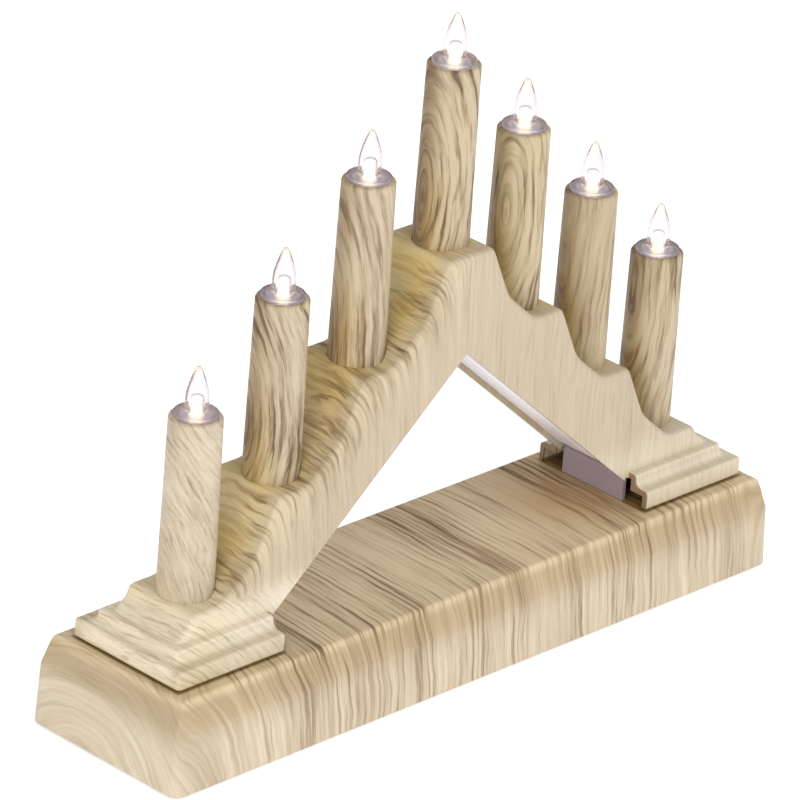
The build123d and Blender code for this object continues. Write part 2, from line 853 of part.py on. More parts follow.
# Hollow inside the arch, the feet and the sockets' surroundings left standing
with BuildPart() as arch_hollow:
    with BuildSketch(Plane.XZ):
        with BuildLine():
            FilletPolyline(
                *stair_points,
                (last_cove_x, deck_z - 2 * shell_wall),
                (-last_cove_x, deck_z - 2 * shell_wall),
                *reversed(left_stairs),
                radius=stair_rounds + [0, 0] + stair_rounds[::-1],
                close=True,
            )
        make_face()
        offset(amount=-shell_wall, kind=Kind.INTERSECTION)
    extrude(amount=arch_half_depth - shell_wall, both=True)
    for half, tier_top, reach in (
        (low_tier_half - shell_wall, low_tier_z - shell_wall, foot_outer_x - shell_wall),
        (high_tier_half - shell_wall, high_tier_z - shell_wall, high_tier_x - shell_wall),
    ):
        for side in (-1, 1):
            with BuildSketch(Plane.XY.offset(deck_z - overrun)):
                with Locations((side * (foot_inner_x - overrun + reach) / 2, 0)):
                    Rectangle(reach - foot_inner_x + overrun, 2 * half)
            extrude(amount=tier_top - deck_z + overrun)
    for number in candle_numbers:
        with BuildSketch(Plane.XY.offset(seat_z(number) - shell_wall)):
            with Locations((number * candle_pitch, 0)):
                Circle(socket_radius)
        extrude(amount=shell_wall + socket_rise, mode=Mode.SUBTRACT)
        with BuildSketch(Plane.XY.offset(seat_z(number) - sleeve_depth)):
            with Locations((number * candle_pitch, 0)):
                Circle(sleeve_radius)
        extrude(amount=sleeve_depth, mode=Mode.SUBTRACT)
    with BuildSketch(Plane.XY.offset(deck_z)):
        with Locations(*arch_screw_spots):
            Circle(arch_boss_radius)
    extrude(amount=arch_boss_height, mode=Mode.SUBTRACT)
    for x in [side * reach for side in (-1, 1) for reach in stay_x]:
        depth = soffit_recess + soffit_thick
        with BuildSketch(Plane.XZ):
            with BuildLine():
                Polyline(
                    (x - stay_thick / 2, soffit_z(x - stay_thick / 2, depth)),
                    (x + stay_thick / 2, soffit_z(x + stay_thick / 2, depth)),
                    (x + stay_thick / 2, soffit_z(x, depth) + stay_height),
                    (x - stay_thick / 2, soffit_z(x, depth) + stay_height),
                    close=True,
                )
            make_face()
        extrude(amount=arch_half_depth, both=True, mode=Mode.SUBTRACT)
    wire_gate_depth = arch_half_depth - shell_wall - stay_reach
    for x in [side * reach for side in (-1, 1) for reach in stay_x]:
        depth = soffit_recess + soffit_thick
        with BuildSketch(Plane.XY.offset(soffit_z(x, depth) - overrun)):
            with Locations((x, 0)):
                Rectangle(stay_thick, 2 * wire_gate_depth)
        extrude(amount=stay_height + overrun)

# Arch shell: stepped body, plinths, hollow, sockets and screw holes
with BuildPart() as arch_shell:
    with BuildSketch(Plane.XZ):
        with BuildLine():
            FilletPolyline(
                *stair_points,
                (last_cove_x, deck_z),
                (underside_x, deck_z),
                (0, under_apex_z),
                (-underside_x, deck_z),
                (-last_cove_x, deck_z),
                *reversed(left_stairs),
                radius=stair_rounds + [0, 0, 0, 0, 0] + stair_rounds[::-1],
                close=True,
            )
        make_face()
    extrude(amount=arch_half_depth, both=True)
    top_edges = (
        arch_shell.faces()
        .filter_by(Axis.Y)
        .edges()
        .filter_by(lambda edge: edge.center().Z > under_z(edge.center().X) + shell_wall)
        .filter_by(lambda edge: edge.center().Z > last_cove_z)
    )
    fillet(top_edges, arch_edge_round)
    add(plinth.part)
    add(arch_hollow.part, mode=Mode.SUBTRACT)
    for number in candle_numbers:
        with BuildSketch(Plane.XY.offset(seat_z(number))):
            with Locations((number * candle_pitch, 0)):
                Circle(pocket_radius)
        extrude(amount=step_height, mode=Mode.SUBTRACT)
        with BuildSketch(Plane.XY.offset(seat_z(number) - sleeve_depth - overrun)):
            with Locations((number * candle_pitch, 0)):
                Circle(spigot_radius + snug_gap)
        extrude(amount=sleeve_depth + 2 * overrun, mode=Mode.SUBTRACT)
    with BuildSketch(Plane.XY.offset(deck_z)):
        with Locations(*arch_screw_spots):
            Circle(screw_radius + snug_gap)
    extrude(amount=arch_pilot_depth, mode=Mode.SUBTRACT)
save(arch_shell, "arch_shell")

# Soffit: one strip under both legs that turns down into an upright plate at each foot
with BuildPart() as arch_soffit:
    with BuildSketch(Plane.XZ):
        with BuildLine():
            outer = soffit_recess + soffit_thick
            Polyline(
                (foot_inner_x, deck_z),
                (foot_inner_x, soffit_z(foot_inner_x, soffit_recess)),
                (0, soffit_z(0, soffit_recess)),
                (-foot_inner_x, soffit_z(foot_inner_x, soffit_recess)),
                (-foot_inner_x, deck_z),
                (-foot_inner_x - soffit_thick, deck_z),
                (-foot_inner_x - soffit_thick, soffit_z(foot_inner_x + soffit_thick, outer)),
                (0, soffit_z(0, outer)),
                (foot_inner_x + soffit_thick, soffit_z(foot_inner_x + soffit_thick, outer)),
                (foot_inner_x + soffit_thick, deck_z),
                close=True,
            )
        make_face()
    extrude(amount=soffit_half_width, both=True)
save(arch_soffit, "arch_soffit")

# Candle tube, origin on its seat
with BuildPart() as candle_tube:
    with BuildSketch(Plane.XZ):
        with BuildLine():
            Polyline(
                (spigot_bore, -spigot_length),
                (spigot_radius, -spigot_length),
                (spigot_radius, 0),
                (tube_foot_radius, 0),
                (tube_top_radius, tube_height),
                (tube_bore, tube_height),
                (tube_bore, tube_floor),
                (spigot_bore, tube_floor),
                close=True,
            )
        make_face()
    revolve(axis=Axis.Z)
    top_rim = candle_tube.edges().filter_by(GeomType.CIRCLE).group_by(Axis.Z)[-1].sort_by(SortBy.RADIUS)[-1]
    fillet(top_rim, tube_rim_round)

# Flame lens: skirt, flange and flame in one clear moulding, origin on the tube's rim
with BuildPart() as flame_lens:
    with BuildSketch(Plane.XZ):
        with BuildLine():
            Polyline(
                (lens_bore, 0),
                (lens_skirt_bore, 0),
                (lens_skirt_bore, -lens_skirt_length),
                (lens_skirt_radius, -lens_skirt_length),
                (lens_skirt_radius, 0),
                (flange_radius, 0),
                (flange_radius, flange_thick),
                (flame_foot_radius, flange_thick),
            )
            Spline(
                (flame_foot_radius, flange_thick),
                (flame_belly_radius, flame_belly_height),
                (flame_shoulder_radius, flame_shoulder_height),
                (flame_tip_radius, flame_height),
            )
            Line((flame_tip_radius, flame_height), (0, flame_height))
            Line((0, flame_height), (0, lens_bore_height))
            ThreePointArc(
                (0, lens_bore_height),
                (lens_bore * cos(radians(45)), lens_bore_height - lens_bore * (1 - cos(radians(45)))),
                (lens_bore, lens_bore_height - lens_bore),
            )
            Line((lens_bore, lens_bore_height - lens_bore), (lens_bore, 0))
        make_face()
    revolve(axis=Axis.Z)
    outer_rims = flame_lens.edges().filter_by(GeomType.CIRCLE).filter_by(lambda edge: edge.radius > tube_bore)
    fillet(outer_rims.group_by(Axis.Z)[-1], flange_round)

# Light-emitting diode, origin under the lens's flange
with BuildPart() as led:
    with BuildSketch(Plane.XZ):
        with BuildLine():
            Polyline(
                (0, -led_collar_thick),
                (led_collar_radius, -led_collar_thick),
                (led_collar_radius, 0),
                (led_radius, 0),
                (led_radius, led_body_height - led_radius),
            )
            ThreePointArc(
                (led_radius, led_body_height - led_radius),
                (led_radius * cos(radians(45)), led_body_height - led_radius * (1 - cos(radians(45)))),
                (0, led_body_height),
            )
            Line((0, led_body_height), (0, -led_collar_thick))
        make_face()
    revolve(axis=Axis.Z)
    with BuildSketch(Plane.XY.offset(-led_collar_thick)):
        with GridLocations(2 * led_lead_pitch, 0, 2, 1):
            Rectangle(led_lead_width, led_lead_width)
    extrude(amount=-led_lead_length)

for index, number in enumerate(candle_numbers):
    seat = Location((number * candle_pitch, 0, seat_z(number)))
    rim = Location((number * candle_pitch, 0, seat_z(number) + tube_height))
    save_copy(candle_tube.part, f"candle_tube_{index + 1}", seat)
    save_copy(flame_lens.part, f"flame_lens_{index + 1}", rim)
    save_copy(led.part, f"led_{index + 1}", rim)

# Wire loom: from the board through the right foot, along both legs, with a branch to each light
loom_foot_z = deck_z + loom_foot_lift
loom_apex_z = soffit_z(0, soffit_recess + soffit_thick) + loom_lift
loom_slope_x = (loom_apex_z - loom_foot_z) / under_slope
branch_top = tube_height - led_collar_thick - led_lead_length

with BuildPart() as wire_loom:
    with BuildLine():
        FilletPolyline(
            (end_candle_x, 0, seat_z(side_steps) + branch_top),
            (end_candle_x, 0, loom_foot_z),
            (loom_slope_x, 0, loom_foot_z),
            (0, 0, loom_apex_z),
            (-loom_slope_x, 0, loom_foot_z),
            (-end_candle_x, 0, loom_foot_z),
            (-end_candle_x, 0, seat_z(side_steps) + branch_top),
            radius=loom_bend,
        )
    with BuildSketch(Plane.XY.offset(seat_z(side_steps) + branch_top)):
        with Locations((end_candle_x, 0)):
            Circle(loom_radius)
    sweep()
    for number in range(1 - side_steps, side_steps):
        run_z = loom_apex_z - under_slope * max(abs(number) * candle_pitch, loom_radius)
        with BuildSketch(Plane.XY.offset(run_z)):
            with Locations((number * candle_pitch, 0)):
                Circle(branch_radius)
        extrude(amount=seat_z(number) + branch_top - run_z)
    with BuildLine():
        FilletPolyline(
            (loom_foot_x, 0, loom_foot_z),
            (loom_foot_x, 0, board_top_z + loom_board_rise),
            (loom_board_x, loom_board_y, board_top_z + loom_board_rise),
            (loom_board_x, loom_board_y, board_top_z),
            radius=loom_bend,
        )
    with BuildSketch(Plane.XY.offset(loom_foot_z)):
        with Locations((loom_foot_x, 0)):
            Circle(branch_radius)
    sweep()
save(wire_loom, "wire_loom")
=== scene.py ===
import json
import math
from collections import namedtuple

import bmesh
import bpy
from bpy.props import FloatProperty, FloatVectorProperty, PointerProperty
from mathutils import Matrix, Vector

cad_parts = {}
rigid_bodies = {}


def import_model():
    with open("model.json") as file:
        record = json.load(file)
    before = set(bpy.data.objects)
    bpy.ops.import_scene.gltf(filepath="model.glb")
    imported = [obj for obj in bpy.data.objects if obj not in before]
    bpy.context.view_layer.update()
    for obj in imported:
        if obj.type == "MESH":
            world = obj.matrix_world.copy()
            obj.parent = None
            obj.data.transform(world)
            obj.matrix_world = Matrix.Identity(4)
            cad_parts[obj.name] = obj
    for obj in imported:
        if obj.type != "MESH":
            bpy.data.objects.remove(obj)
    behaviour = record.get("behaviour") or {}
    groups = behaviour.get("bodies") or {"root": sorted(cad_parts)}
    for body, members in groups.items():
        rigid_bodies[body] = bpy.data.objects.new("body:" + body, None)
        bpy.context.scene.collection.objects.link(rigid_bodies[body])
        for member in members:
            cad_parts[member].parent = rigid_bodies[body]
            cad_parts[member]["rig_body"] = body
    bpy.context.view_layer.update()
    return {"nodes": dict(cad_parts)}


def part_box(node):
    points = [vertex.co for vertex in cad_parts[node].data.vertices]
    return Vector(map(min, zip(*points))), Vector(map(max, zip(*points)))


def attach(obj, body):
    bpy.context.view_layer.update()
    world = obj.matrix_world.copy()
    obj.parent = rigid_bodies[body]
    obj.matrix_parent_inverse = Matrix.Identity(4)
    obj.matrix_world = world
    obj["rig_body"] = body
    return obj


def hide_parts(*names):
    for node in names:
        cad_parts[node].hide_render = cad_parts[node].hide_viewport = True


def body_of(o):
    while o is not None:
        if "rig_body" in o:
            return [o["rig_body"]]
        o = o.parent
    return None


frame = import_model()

bl_info = {
    "name": "Candle arch",
    "version": (1, 0, 0),
    "blender": (4, 5, 0),
    "location": "3D View > Sidebar > Candle arch",
    "description": "Dresses a stepped candle arch: printed wood effect, clear flames and warm lights",
    "category": "Add Mesh",
}

# Shared measures
MM = 0.001
SEGMENTS = 96
CANDLES = range(1, 8)
MERGE = 0.000001
RING_REACH = 0.00001

# Measures of the arch that its print follows, in millimetres
LEG_TOP = 122.0
LEG_SLOPE = 0.893
LEG_HALF_DEPTH = 12.6
FOOT_MIDDLE = 85.2
FOOT_HALF_LENGTH = 18.6
FOOT_HALF_DEPTH = 19.7


# Sizes and colours that a user would change
class WoodPrint(bpy.types.PropertyGroup):
    """Colours and relief of the printed wood effect"""

    light: FloatVectorProperty(
        name="Light wood", description="Palest tone between the streaks", subtype="COLOR",
        default=(0.655, 0.580, 0.440), min=0.0, max=1.0,
    )
    middle: FloatVectorProperty(
        name="Middle wood", description="Main tone of the wood", subtype="COLOR",
        default=(0.530, 0.452, 0.330), min=0.0, max=1.0,
    )
    streak: FloatVectorProperty(
        name="Streak", description="Tone of the ordinary grain streaks", subtype="COLOR",
        default=(0.330, 0.250, 0.155), min=0.0, max=1.0,
    )
    dark: FloatVectorProperty(
        name="Dark grain", description="Darkest lines of the grain", subtype="COLOR",
        default=(0.165, 0.110, 0.062), min=0.0, max=1.0,
    )
    relief: FloatProperty(
        name="Relief", description="Depth of the moulded grain", subtype="DISTANCE", unit="LENGTH",
        default=0.00008, min=0.0, max=0.001, precision=5,
    )


class TubeSizes(bpy.types.PropertyGroup):
    """Sizes of one candle tube"""

    foot_radius: FloatProperty(
        name="Foot radius", description="Outer radius where the tube stands on its seat", unit="LENGTH",
        default=0.00753, min=0.001, precision=5,
    )
    top_radius: FloatProperty(
        name="Top radius", description="Outer radius at the rim", unit="LENGTH", default=0.00705, min=0.001,
        precision=5,
    )
    bore_radius: FloatProperty(
        name="Bore radius", description="Radius of the hole in the rim", unit="LENGTH", default=0.0053,
        min=0.001, precision=5,
    )
    spigot_radius: FloatProperty(
        name="Spigot radius", description="Outer radius of the peg in the socket", unit="LENGTH",
        default=0.005, min=0.001, precision=5,
    )
    spigot_bore: FloatProperty(
        name="Spigot bore", description="Radius of the wire hole through the peg", unit="LENGTH",
        default=0.0036, min=0.0005, precision=5,
    )
    spigot_length: FloatProperty(
        name="Spigot length", description="How far the peg goes down", unit="LENGTH", default=0.005,
        min=0.0005, precision=5,
    )
    floor: FloatProperty(
        name="Floor", description="Thickness of the tube's floor", unit="LENGTH", default=0.0016, min=0.0005,
        precision=5,
    )
    rim_round: FloatProperty(
        name="Rim round", description="Radius on the outer edge of the rim", unit="LENGTH", default=0.0008,
        min=0.0, precision=5,
    )


class FlameSizes(bpy.types.PropertyGroup):
    """Sizes and colours of one clear flame and the light in it"""

    flange_radius: FloatProperty(
        name="Flange radius", description="Radius of the round flange", unit="LENGTH", default=0.00585,
        precision=5,
    )
    flange_thick: FloatProperty(
        name="Flange thickness", description="Thickness of the round flange", unit="LENGTH", default=0.00115,
        precision=5,
    )
    skirt_radius: FloatProperty(
        name="Skirt radius", description="Outer radius of the skirt in the tube", unit="LENGTH",
        default=0.00525, precision=5,
    )
    skirt_bore: FloatProperty(
        name="Skirt bore", description="Inner radius of the skirt", unit="LENGTH", default=0.0043,
        precision=5,
    )
    foot_radius: FloatProperty(
        name="Flame foot", description="Radius of the flame on the flange", unit="LENGTH", default=0.0029,
        precision=5,
    )
    belly_radius: FloatProperty(
        name="Flame belly", description="Widest radius of the flame", unit="LENGTH", default=0.00305,
        precision=5,
    )
    bore_radius: FloatProperty(
        name="Light bore", description="Radius of the hollow for the light", unit="LENGTH", default=0.0016,
        precision=5,
    )
    tint: FloatVectorProperty(
        name="Clear tint", description="Colour of the clear moulding", subtype="COLOR",
        default=(0.96, 0.94, 0.97), min=0.0, max=1.0,
    )
    # Painted shade along the flame's outline, where it is seen edge on
    edge_shade_tint: FloatVectorProperty(
        name="Edge tint", description="Colour of the clear moulding where it is seen edge on",
        subtype="COLOR", default=(0.77, 0.68, 0.75), min=0.0, max=1.0,
    )
    flange_tint: FloatVectorProperty(
        name="Flange tint", description="Colour of the frosted flange", subtype="COLOR",
        default=(0.97, 0.93, 0.98), min=0.0, max=1.0,
    )
    glow: FloatVectorProperty(
        name="Glow", description="Colour of the light", subtype="COLOR", default=(1.0, 0.84, 0.60), min=0.0,
        max=1.0,
    )
    glow_strength: FloatProperty(
        name="Glow strength", description="Brightness of the light", default=0.55, min=0.0, max=100.0,
    )


class PlainFinishes(bpy.types.PropertyGroup):
    """Colours of the plain plastics, metals and sleeves"""

    soffit: FloatVectorProperty(
        name="Soffit", description="Smooth strip under the legs", subtype="COLOR", default=(0.93, 0.92, 1.0),
        min=0.0, max=1.0,
    )
    soffit_back: FloatVectorProperty(
        name="Soffit back", description="Back half of the strip under the legs", subtype="COLOR",
        default=(0.87, 0.83, 0.91), min=0.0, max=1.0,
    )
    groove: FloatVectorProperty(
        name="Soffit lines", description="Fine lines along the strip", subtype="COLOR",
        default=(0.48, 0.40, 0.45), min=0.0, max=1.0,
    )
    # The plate's dark colour is partly its own and partly painted shade from the foot's hollow
    plate_shade: FloatVectorProperty(
        name="Foot plate", description="Upright plate in the open end of each foot", subtype="COLOR",
        default=(0.31, 0.25, 0.28), min=0.0, max=1.0,
    )
    under: FloatVectorProperty(
        name="Underside", description="Base plate and battery cover", subtype="COLOR",
        default=(0.060, 0.042, 0.030), min=0.0, max=1.0,
    )
    sleeve: FloatVectorProperty(
        name="Cell sleeve", description="Body of the cells", subtype="COLOR", default=(0.020, 0.035, 0.060),
        min=0.0, max=1.0,
    )
    band: FloatVectorProperty(
        name="Cell band", description="Band at the plus end of the cells", subtype="COLOR",
        default=(0.62, 0.36, 0.13), min=0.0, max=1.0,
    )
    board: FloatVectorProperty(
        name="Board", description="Solder mask of the circuit board", subtype="COLOR",
        default=(0.012, 0.10, 0.035), min=0.0, max=1.0,
    )


class StageLook(bpy.types.PropertyGroup):
    """Floor, lights and camera"""

    floor: FloatVectorProperty(
        name="Floor", description="Colour of the floor", subtype="COLOR", default=(0.93, 0.93, 0.93), min=0.0,
        max=1.0,
    )
    sky_strength: FloatProperty(
        name="Surrounding light", description="Strength of the even light from all round", default=0.62,
        min=0.0,
    )
    key_power: FloatProperty(
        name="Key light", description="Power of the large soft light", subtype="POWER", default=6.6, min=0.0,
    )
    lens: FloatProperty(
        name="Lens", description="Focal length of the camera", subtype="DISTANCE_CAMERA", default=336.9,
        min=1.0,
    )
    camera_place: FloatVectorProperty(
        name="Camera place", description="Where the camera stands", subtype="TRANSLATION", unit="LENGTH",
        default=(-1.27966, -1.19931, 0.90426),
    )


# Node building
def place(tree, kind, inputs=(), **options):
    """Adds a node with its options, and feeds its inputs from sockets or plain values"""
    node = tree.nodes.new(kind)
    for name, value in options.items():
        setattr(node, name, value)
    for key, value in dict(inputs).items():
        if isinstance(value, bpy.types.NodeSocket):
            tree.links.new(value, node.inputs[key])
        else:
            node.inputs[key].default_value = value
    return node


def calc(tree, operation, first, second=0.0, third=0.0):
    """One step of arithmetic on values"""
    return place(tree, "ShaderNodeMath", {0: first, 1: second, 2: third}, operation=operation).outputs[0]


def times(tree, first, second):
    """One value times another"""
    return calc(tree, "MULTIPLY", first, second)


def less(tree, first, second):
    """One value less another"""
    return calc(tree, "SUBTRACT", first, second)


def raised(tree, mask, amount, start):
    """A start value, plus an amount where the mask is full"""
    return calc(tree, "MULTIPLY_ADD", mask, amount, start)


def vector_calc(tree, operation, first, second):
    """One step of arithmetic on vectors"""
    return place(tree, "ShaderNodeVectorMath", {0: first, 1: second}, operation=operation).outputs[0]


def measure(tree, operation, first, second=(0.0, 0.0, 0.0)):
    """A length, distance or product of vectors"""
    return place(tree, "ShaderNodeVectorMath", {0: first, 1: second}, operation=operation).outputs["Value"]


def split(tree, vector):
    """The three parts of a vector"""
    return place(tree, "ShaderNodeSeparateXYZ", {0: vector}).outputs


def joined(tree, x, y, z):
    """A vector made of three parts"""
    return place(tree, "ShaderNodeCombineXYZ", {0: x, 1: y, 2: z}).outputs[0]


def ramp_between(tree, value, low, high, start=0.0, end=1.0):
    """A smooth change from start to end while value goes from low to high"""
    inputs = {0: value, 1: low, 2: high, 3: start, 4: end}
    return place(tree, "ShaderNodeMapRange", inputs, interpolation_type="SMOOTHSTEP").outputs[0]


def even_cloud(tree, vector, scale, detail, roughness=0.5):
    """Noise of the same size along all axes"""
    inputs = {"Vector": vector, "Scale": scale, "Detail": detail, "Roughness": roughness}
    return place(tree, "ShaderNodeTexNoise", inputs).outputs[0]


def cloud(tree, vector, scales, detail=2.0, roughness=0.5):
    """Noise whose size differs along the three axes, in millimetres to the minus one"""
    return even_cloud(tree, vector_calc(tree, "MULTIPLY", vector, scales), 1.0, detail, roughness)


def blend(tree, factor, first, second, mode="MIX"):
    """Mixes two colours"""
    inputs = {"Factor": factor, 6: first, 7: second}
    return place(tree, "ShaderNodeMix", inputs, data_type="RGBA", blend_type=mode).outputs[2]


def new_group(name, inputs, outputs):
    """An empty node group with its sockets, and its input and output nodes"""
    tree = bpy.data.node_groups.new(name, "ShaderNodeTree")
    for label, kind, default in inputs:
        socket = tree.interface.new_socket(name=label, in_out="INPUT", socket_type=kind)
        if default is not None:
            socket.default_value = default
    for label, kind in outputs:
        tree.interface.new_socket(name=label, in_out="OUTPUT", socket_type=kind)
    entry = tree.nodes.new("NodeGroupInput")
    end = tree.nodes.new("NodeGroupOutput")
    return tree, entry, end


def use_group(tree, name, maker, inputs, *args):
    """Places the named node group, which is made the first time it is asked for"""
    group = bpy.data.node_groups.get(name) or maker(*args)
    return place(tree, "ShaderNodeGroup", inputs, node_tree=group)


def feed(tree, node, sockets):
    """Links sockets to a node's inputs by name"""
    for name, socket in sockets.items():
        tree.links.new(socket, node.inputs[name])


def new_material(name, **constants):
    """A material with its tree, its shader with plain values set, and object coordinates in millimetres"""
    material = bpy.data.materials.new(name)
    material.use_nodes = True
    tree = material.node_tree
    tree.nodes.clear()
    shader = tree.nodes.new("ShaderNodeBsdfPrincipled")
    for key, value in constants.items():
        shader.inputs[key.replace("_", " ")].default_value = value
    output = tree.nodes.new("ShaderNodeOutputMaterial")
    tree.links.new(shader.outputs[0], output.inputs[0])
    coordinates = tree.nodes.new("ShaderNodeTexCoord").outputs["Object"]
    scaled = place(tree, "ShaderNodeMapping", {"Vector": coordinates, "Scale": (1 / MM, 1 / MM, 1 / MM)})
    return material, tree, shader, scaled.outputs[0]


# Effects that several materials share
def printed_grain_group(look):
    """Streaks of the wood print: the vector's X runs across the grain, Y and Z run along it"""
    vector, value, colour = "NodeSocketVector", "NodeSocketFloat", "NodeSocketColor"
    tree, entry, end = new_group(
        "Printed grain",
        [
            ("Vector", vector, None), ("Contrast", value, 1.0), ("Brightness", value, 0.0),
            ("Fineness", value, 1.0), ("Streak length", value, 1.0),
            ("Light", colour, (*look.light, 1)), ("Middle", colour, (*look.middle, 1)),
            ("Streak", colour, (*look.streak, 1)), ("Dark", colour, (*look.dark, 1)),
        ],
        [("Color", colour), ("Height", value), ("Roughness", value)],
    )
    across = entry.outputs["Fineness"]
    along = calc(tree, "DIVIDE", across, entry.outputs["Streak length"])
    grain = vector_calc(tree, "MULTIPLY", entry.outputs["Vector"], joined(tree, across, along, along))
    sway = cloud(tree, grain, (0.11, 0.014, 0.014))
    jitter = cloud(tree, grain, (0.55, 0.045, 0.045))
    phase = raised(tree, sway, 3.4, times(tree, split(tree, grain)[0], 0.42))
    phase = raised(tree, jitter, 1.5, phase)
    line = ramp_between(tree, calc(tree, "SINE", times(tree, phase, math.tau)), 0.0, 1.0)
    strength = cloud(tree, grain, (0.17, 0.030, 0.030), detail=1.0)
    strength = ramp_between(tree, strength, 0.36, 0.62, 0.15, 1.0)
    fine = cloud(tree, grain, (0.80, 0.034, 0.034), detail=3.0, roughness=0.62)
    fibre = cloud(tree, grain, (3.6, 0.14, 0.14), detail=1.0)
    broad = cloud(tree, grain, (0.075, 0.012, 0.012), detail=1.0)
    tone = raised(tree, times(tree, line, strength), -0.30, 0.07)
    for noise, weight in ((fine, 1.45), (fibre, 0.45), (broad, 0.75)):
        tone = raised(tree, less(tree, noise, 0.5), weight, tone)
    tone = raised(tree, tone, entry.outputs["Contrast"], 0.5)
    tone = calc(tree, "ADD", tone, entry.outputs["Brightness"])
    print_colour = entry.outputs["Dark"]
    for low, high, paler in ((0.02, 0.30, "Streak"), (0.22, 0.52, "Middle"), (0.46, 0.74, "Light")):
        print_colour = blend(tree, ramp_between(tree, tone, low, high), print_colour, entry.outputs[paler])
    rough = ramp_between(tree, tone, 0.3, 0.7, 0.52, 0.38)
    feed(tree, end, {"Color": print_colour, "Height": tone, "Roughness": rough})
    return tree


def ring_grain_group():
    """Turns a place into a grain vector whose rings lie round a centre, as in sawn wood"""
    vector, value = "NodeSocketVector", "NodeSocketFloat"
    tree, entry, end = new_group(
        "Ring grain",
        [
            ("Vector", vector, None), ("Centre", vector, (0.0, 0.0, 0.0)),
            ("Stretch", vector, (1.0, 1.0, 1.0)), ("Wobble", value, 1.0), ("Wobble size", value, 0.05),
        ],
        [("Vector", vector)],
    )
    spot = entry.outputs["Vector"]
    offset = vector_calc(tree, "SUBTRACT", spot, entry.outputs["Centre"])
    reach = measure(tree, "LENGTH", vector_calc(tree, "MULTIPLY", offset, entry.outputs["Stretch"]))
    noise = even_cloud(tree, spot, entry.outputs["Wobble size"], 2.0)
    shift = times(tree, less(tree, noise, 0.5), entry.outputs["Wobble"])
    axes = split(tree, spot)
    rings = joined(tree, calc(tree, "ADD", reach, shift), axes[1], axes[2])
    tree.links.new(rings, end.inputs["Vector"])
    return tree


def fine_texture_group():
    """Fine moulded texture for plain plastics: a varied colour, a height and a mask of broad patches"""
    vector, value, colour = "NodeSocketVector", "NodeSocketFloat", "NodeSocketColor"
    tree, entry, end = new_group(
        "Fine texture",
        [("Vector", vector, None), ("Base", colour, (0.5, 0.5, 0.5, 1)), ("Variation", value, 0.06),
         ("Size", value, 3.0)],
        [("Color", colour), ("Height", value), ("Mask", value)],
    )
    patches = even_cloud(tree, entry.outputs["Vector"], 0.05, 3.0)
    grains = even_cloud(tree, entry.outputs["Vector"], entry.outputs["Size"], 2.0)
    amount = calc(tree, "ADD", less(tree, patches, 0.5), less(tree, grains, 0.5))
    factor = raised(tree, amount, entry.outputs["Variation"], 1.0)
    grey = joined(tree, factor, factor, factor)
    varied = blend(tree, 1.0, entry.outputs["Base"], grey, "MULTIPLY")
    feed(tree, end, {"Color": varied, "Height": grains, "Mask": patches})
    return tree


def ring_grain(tree, spot, centre, stretch, wobble, size):
    """The grain vector of rings round a centre"""
    inputs = {"Vector": spot, "Centre": centre, "Stretch": stretch, "Wobble": wobble, "Wobble size": size}
    return use_group(tree, "Ring grain", ring_grain_group, inputs).outputs[0]


def fine_texture(tree, spot, base, variation, size):
    """The fine moulded texture on a base colour"""
    inputs = {"Vector": spot, "Base": base, "Variation": variation, "Size": size}
    return use_group(tree, "Fine texture", fine_texture_group, inputs).outputs


def relief(tree, height, strength, depth):
    """Normals of a moulded relief"""
    inputs = {"Strength": strength, "Distance": depth, "Height": height}
    return place(tree, "ShaderNodeBump", inputs).outputs[0]


def finish_wood(tree, shader, look, grain_vector, contrast, brightness, fineness, length, tints):
    """Puts the printed grain, its tints and its relief on a wood-effect shader"""
    grain = use_group(
        tree, "Printed grain", printed_grain_group,
        {"Vector": grain_vector, "Contrast": contrast, "Brightness": brightness, "Fineness": fineness,
         "Streak length": length},
        look,
    ).outputs
    colour = grain["Color"]
    for mask, tint in tints:
        colour = blend(tree, mask, colour, (*tint, 1), "MULTIPLY")
    normal = relief(tree, grain["Height"], 1.0, look.relief)
    feed(tree, shader, {"Base Color": colour, "Roughness": grain["Roughness"], "Normal": normal})


def speckled(name, colour, variation=0.2, size=2.0, rough=(0.32, 0.44), **constants):
    """A material with a fine variation in colour and gloss"""
    material, tree, shader, spot = new_material(name, **constants)
    grain = fine_texture(tree, spot, (*colour, 1), variation, size)
    gloss = ramp_between(tree, grain["Height"], 0.3, 0.7, *rough)
    feed(tree, shader, {"Base Color": grain["Color"], "Roughness": gloss})
    return material


# Mesh helpers
def make_piece(bm, name, material, node, sharp):
    """Turns a finished bmesh into a piece that stands for a node and rides on its body"""
    limit = math.radians(sharp)
    for face in bm.faces:
        face.smooth = True
        face.material_index = 0
    for edge in bm.edges:
        edge.smooth = edge.is_manifold and edge.calc_face_angle(0.0) < limit
    mesh = bpy.data.meshes.new(name)
    bm.to_mesh(mesh)
    bm.free()
    mesh.materials.append(material)
    piece = bpy.data.objects.new(name, mesh)
    bpy.context.scene.collection.objects.link(piece)
    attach(piece, body_of(frame["nodes"][node])[0])
    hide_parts(node)
    return piece


def turned_piece(bm, name, material, node, sharp=35.0):
    """A piece from a mesh made here, closed and with its faces outwards"""
    bmesh.ops.remove_doubles(bm, verts=bm.verts, dist=MERGE)
    bmesh.ops.recalc_face_normals(bm, faces=bm.faces)
    return make_piece(bm, name, material, node, sharp)


def merged_copy(node, material):
    """A node's own shape with its loose triangles merged and its curved faces smooth"""
    bm = bmesh.new()
    bm.from_mesh(frame["nodes"][node].data)
    bmesh.ops.remove_doubles(bm, verts=bm.verts, dist=MERGE)
    piece = make_piece(bm, node + "_skin", material, node, sharp=28.0)
    weighted = piece.modifiers.new("Even shading", "WEIGHTED_NORMAL")
    weighted.keep_sharp = True


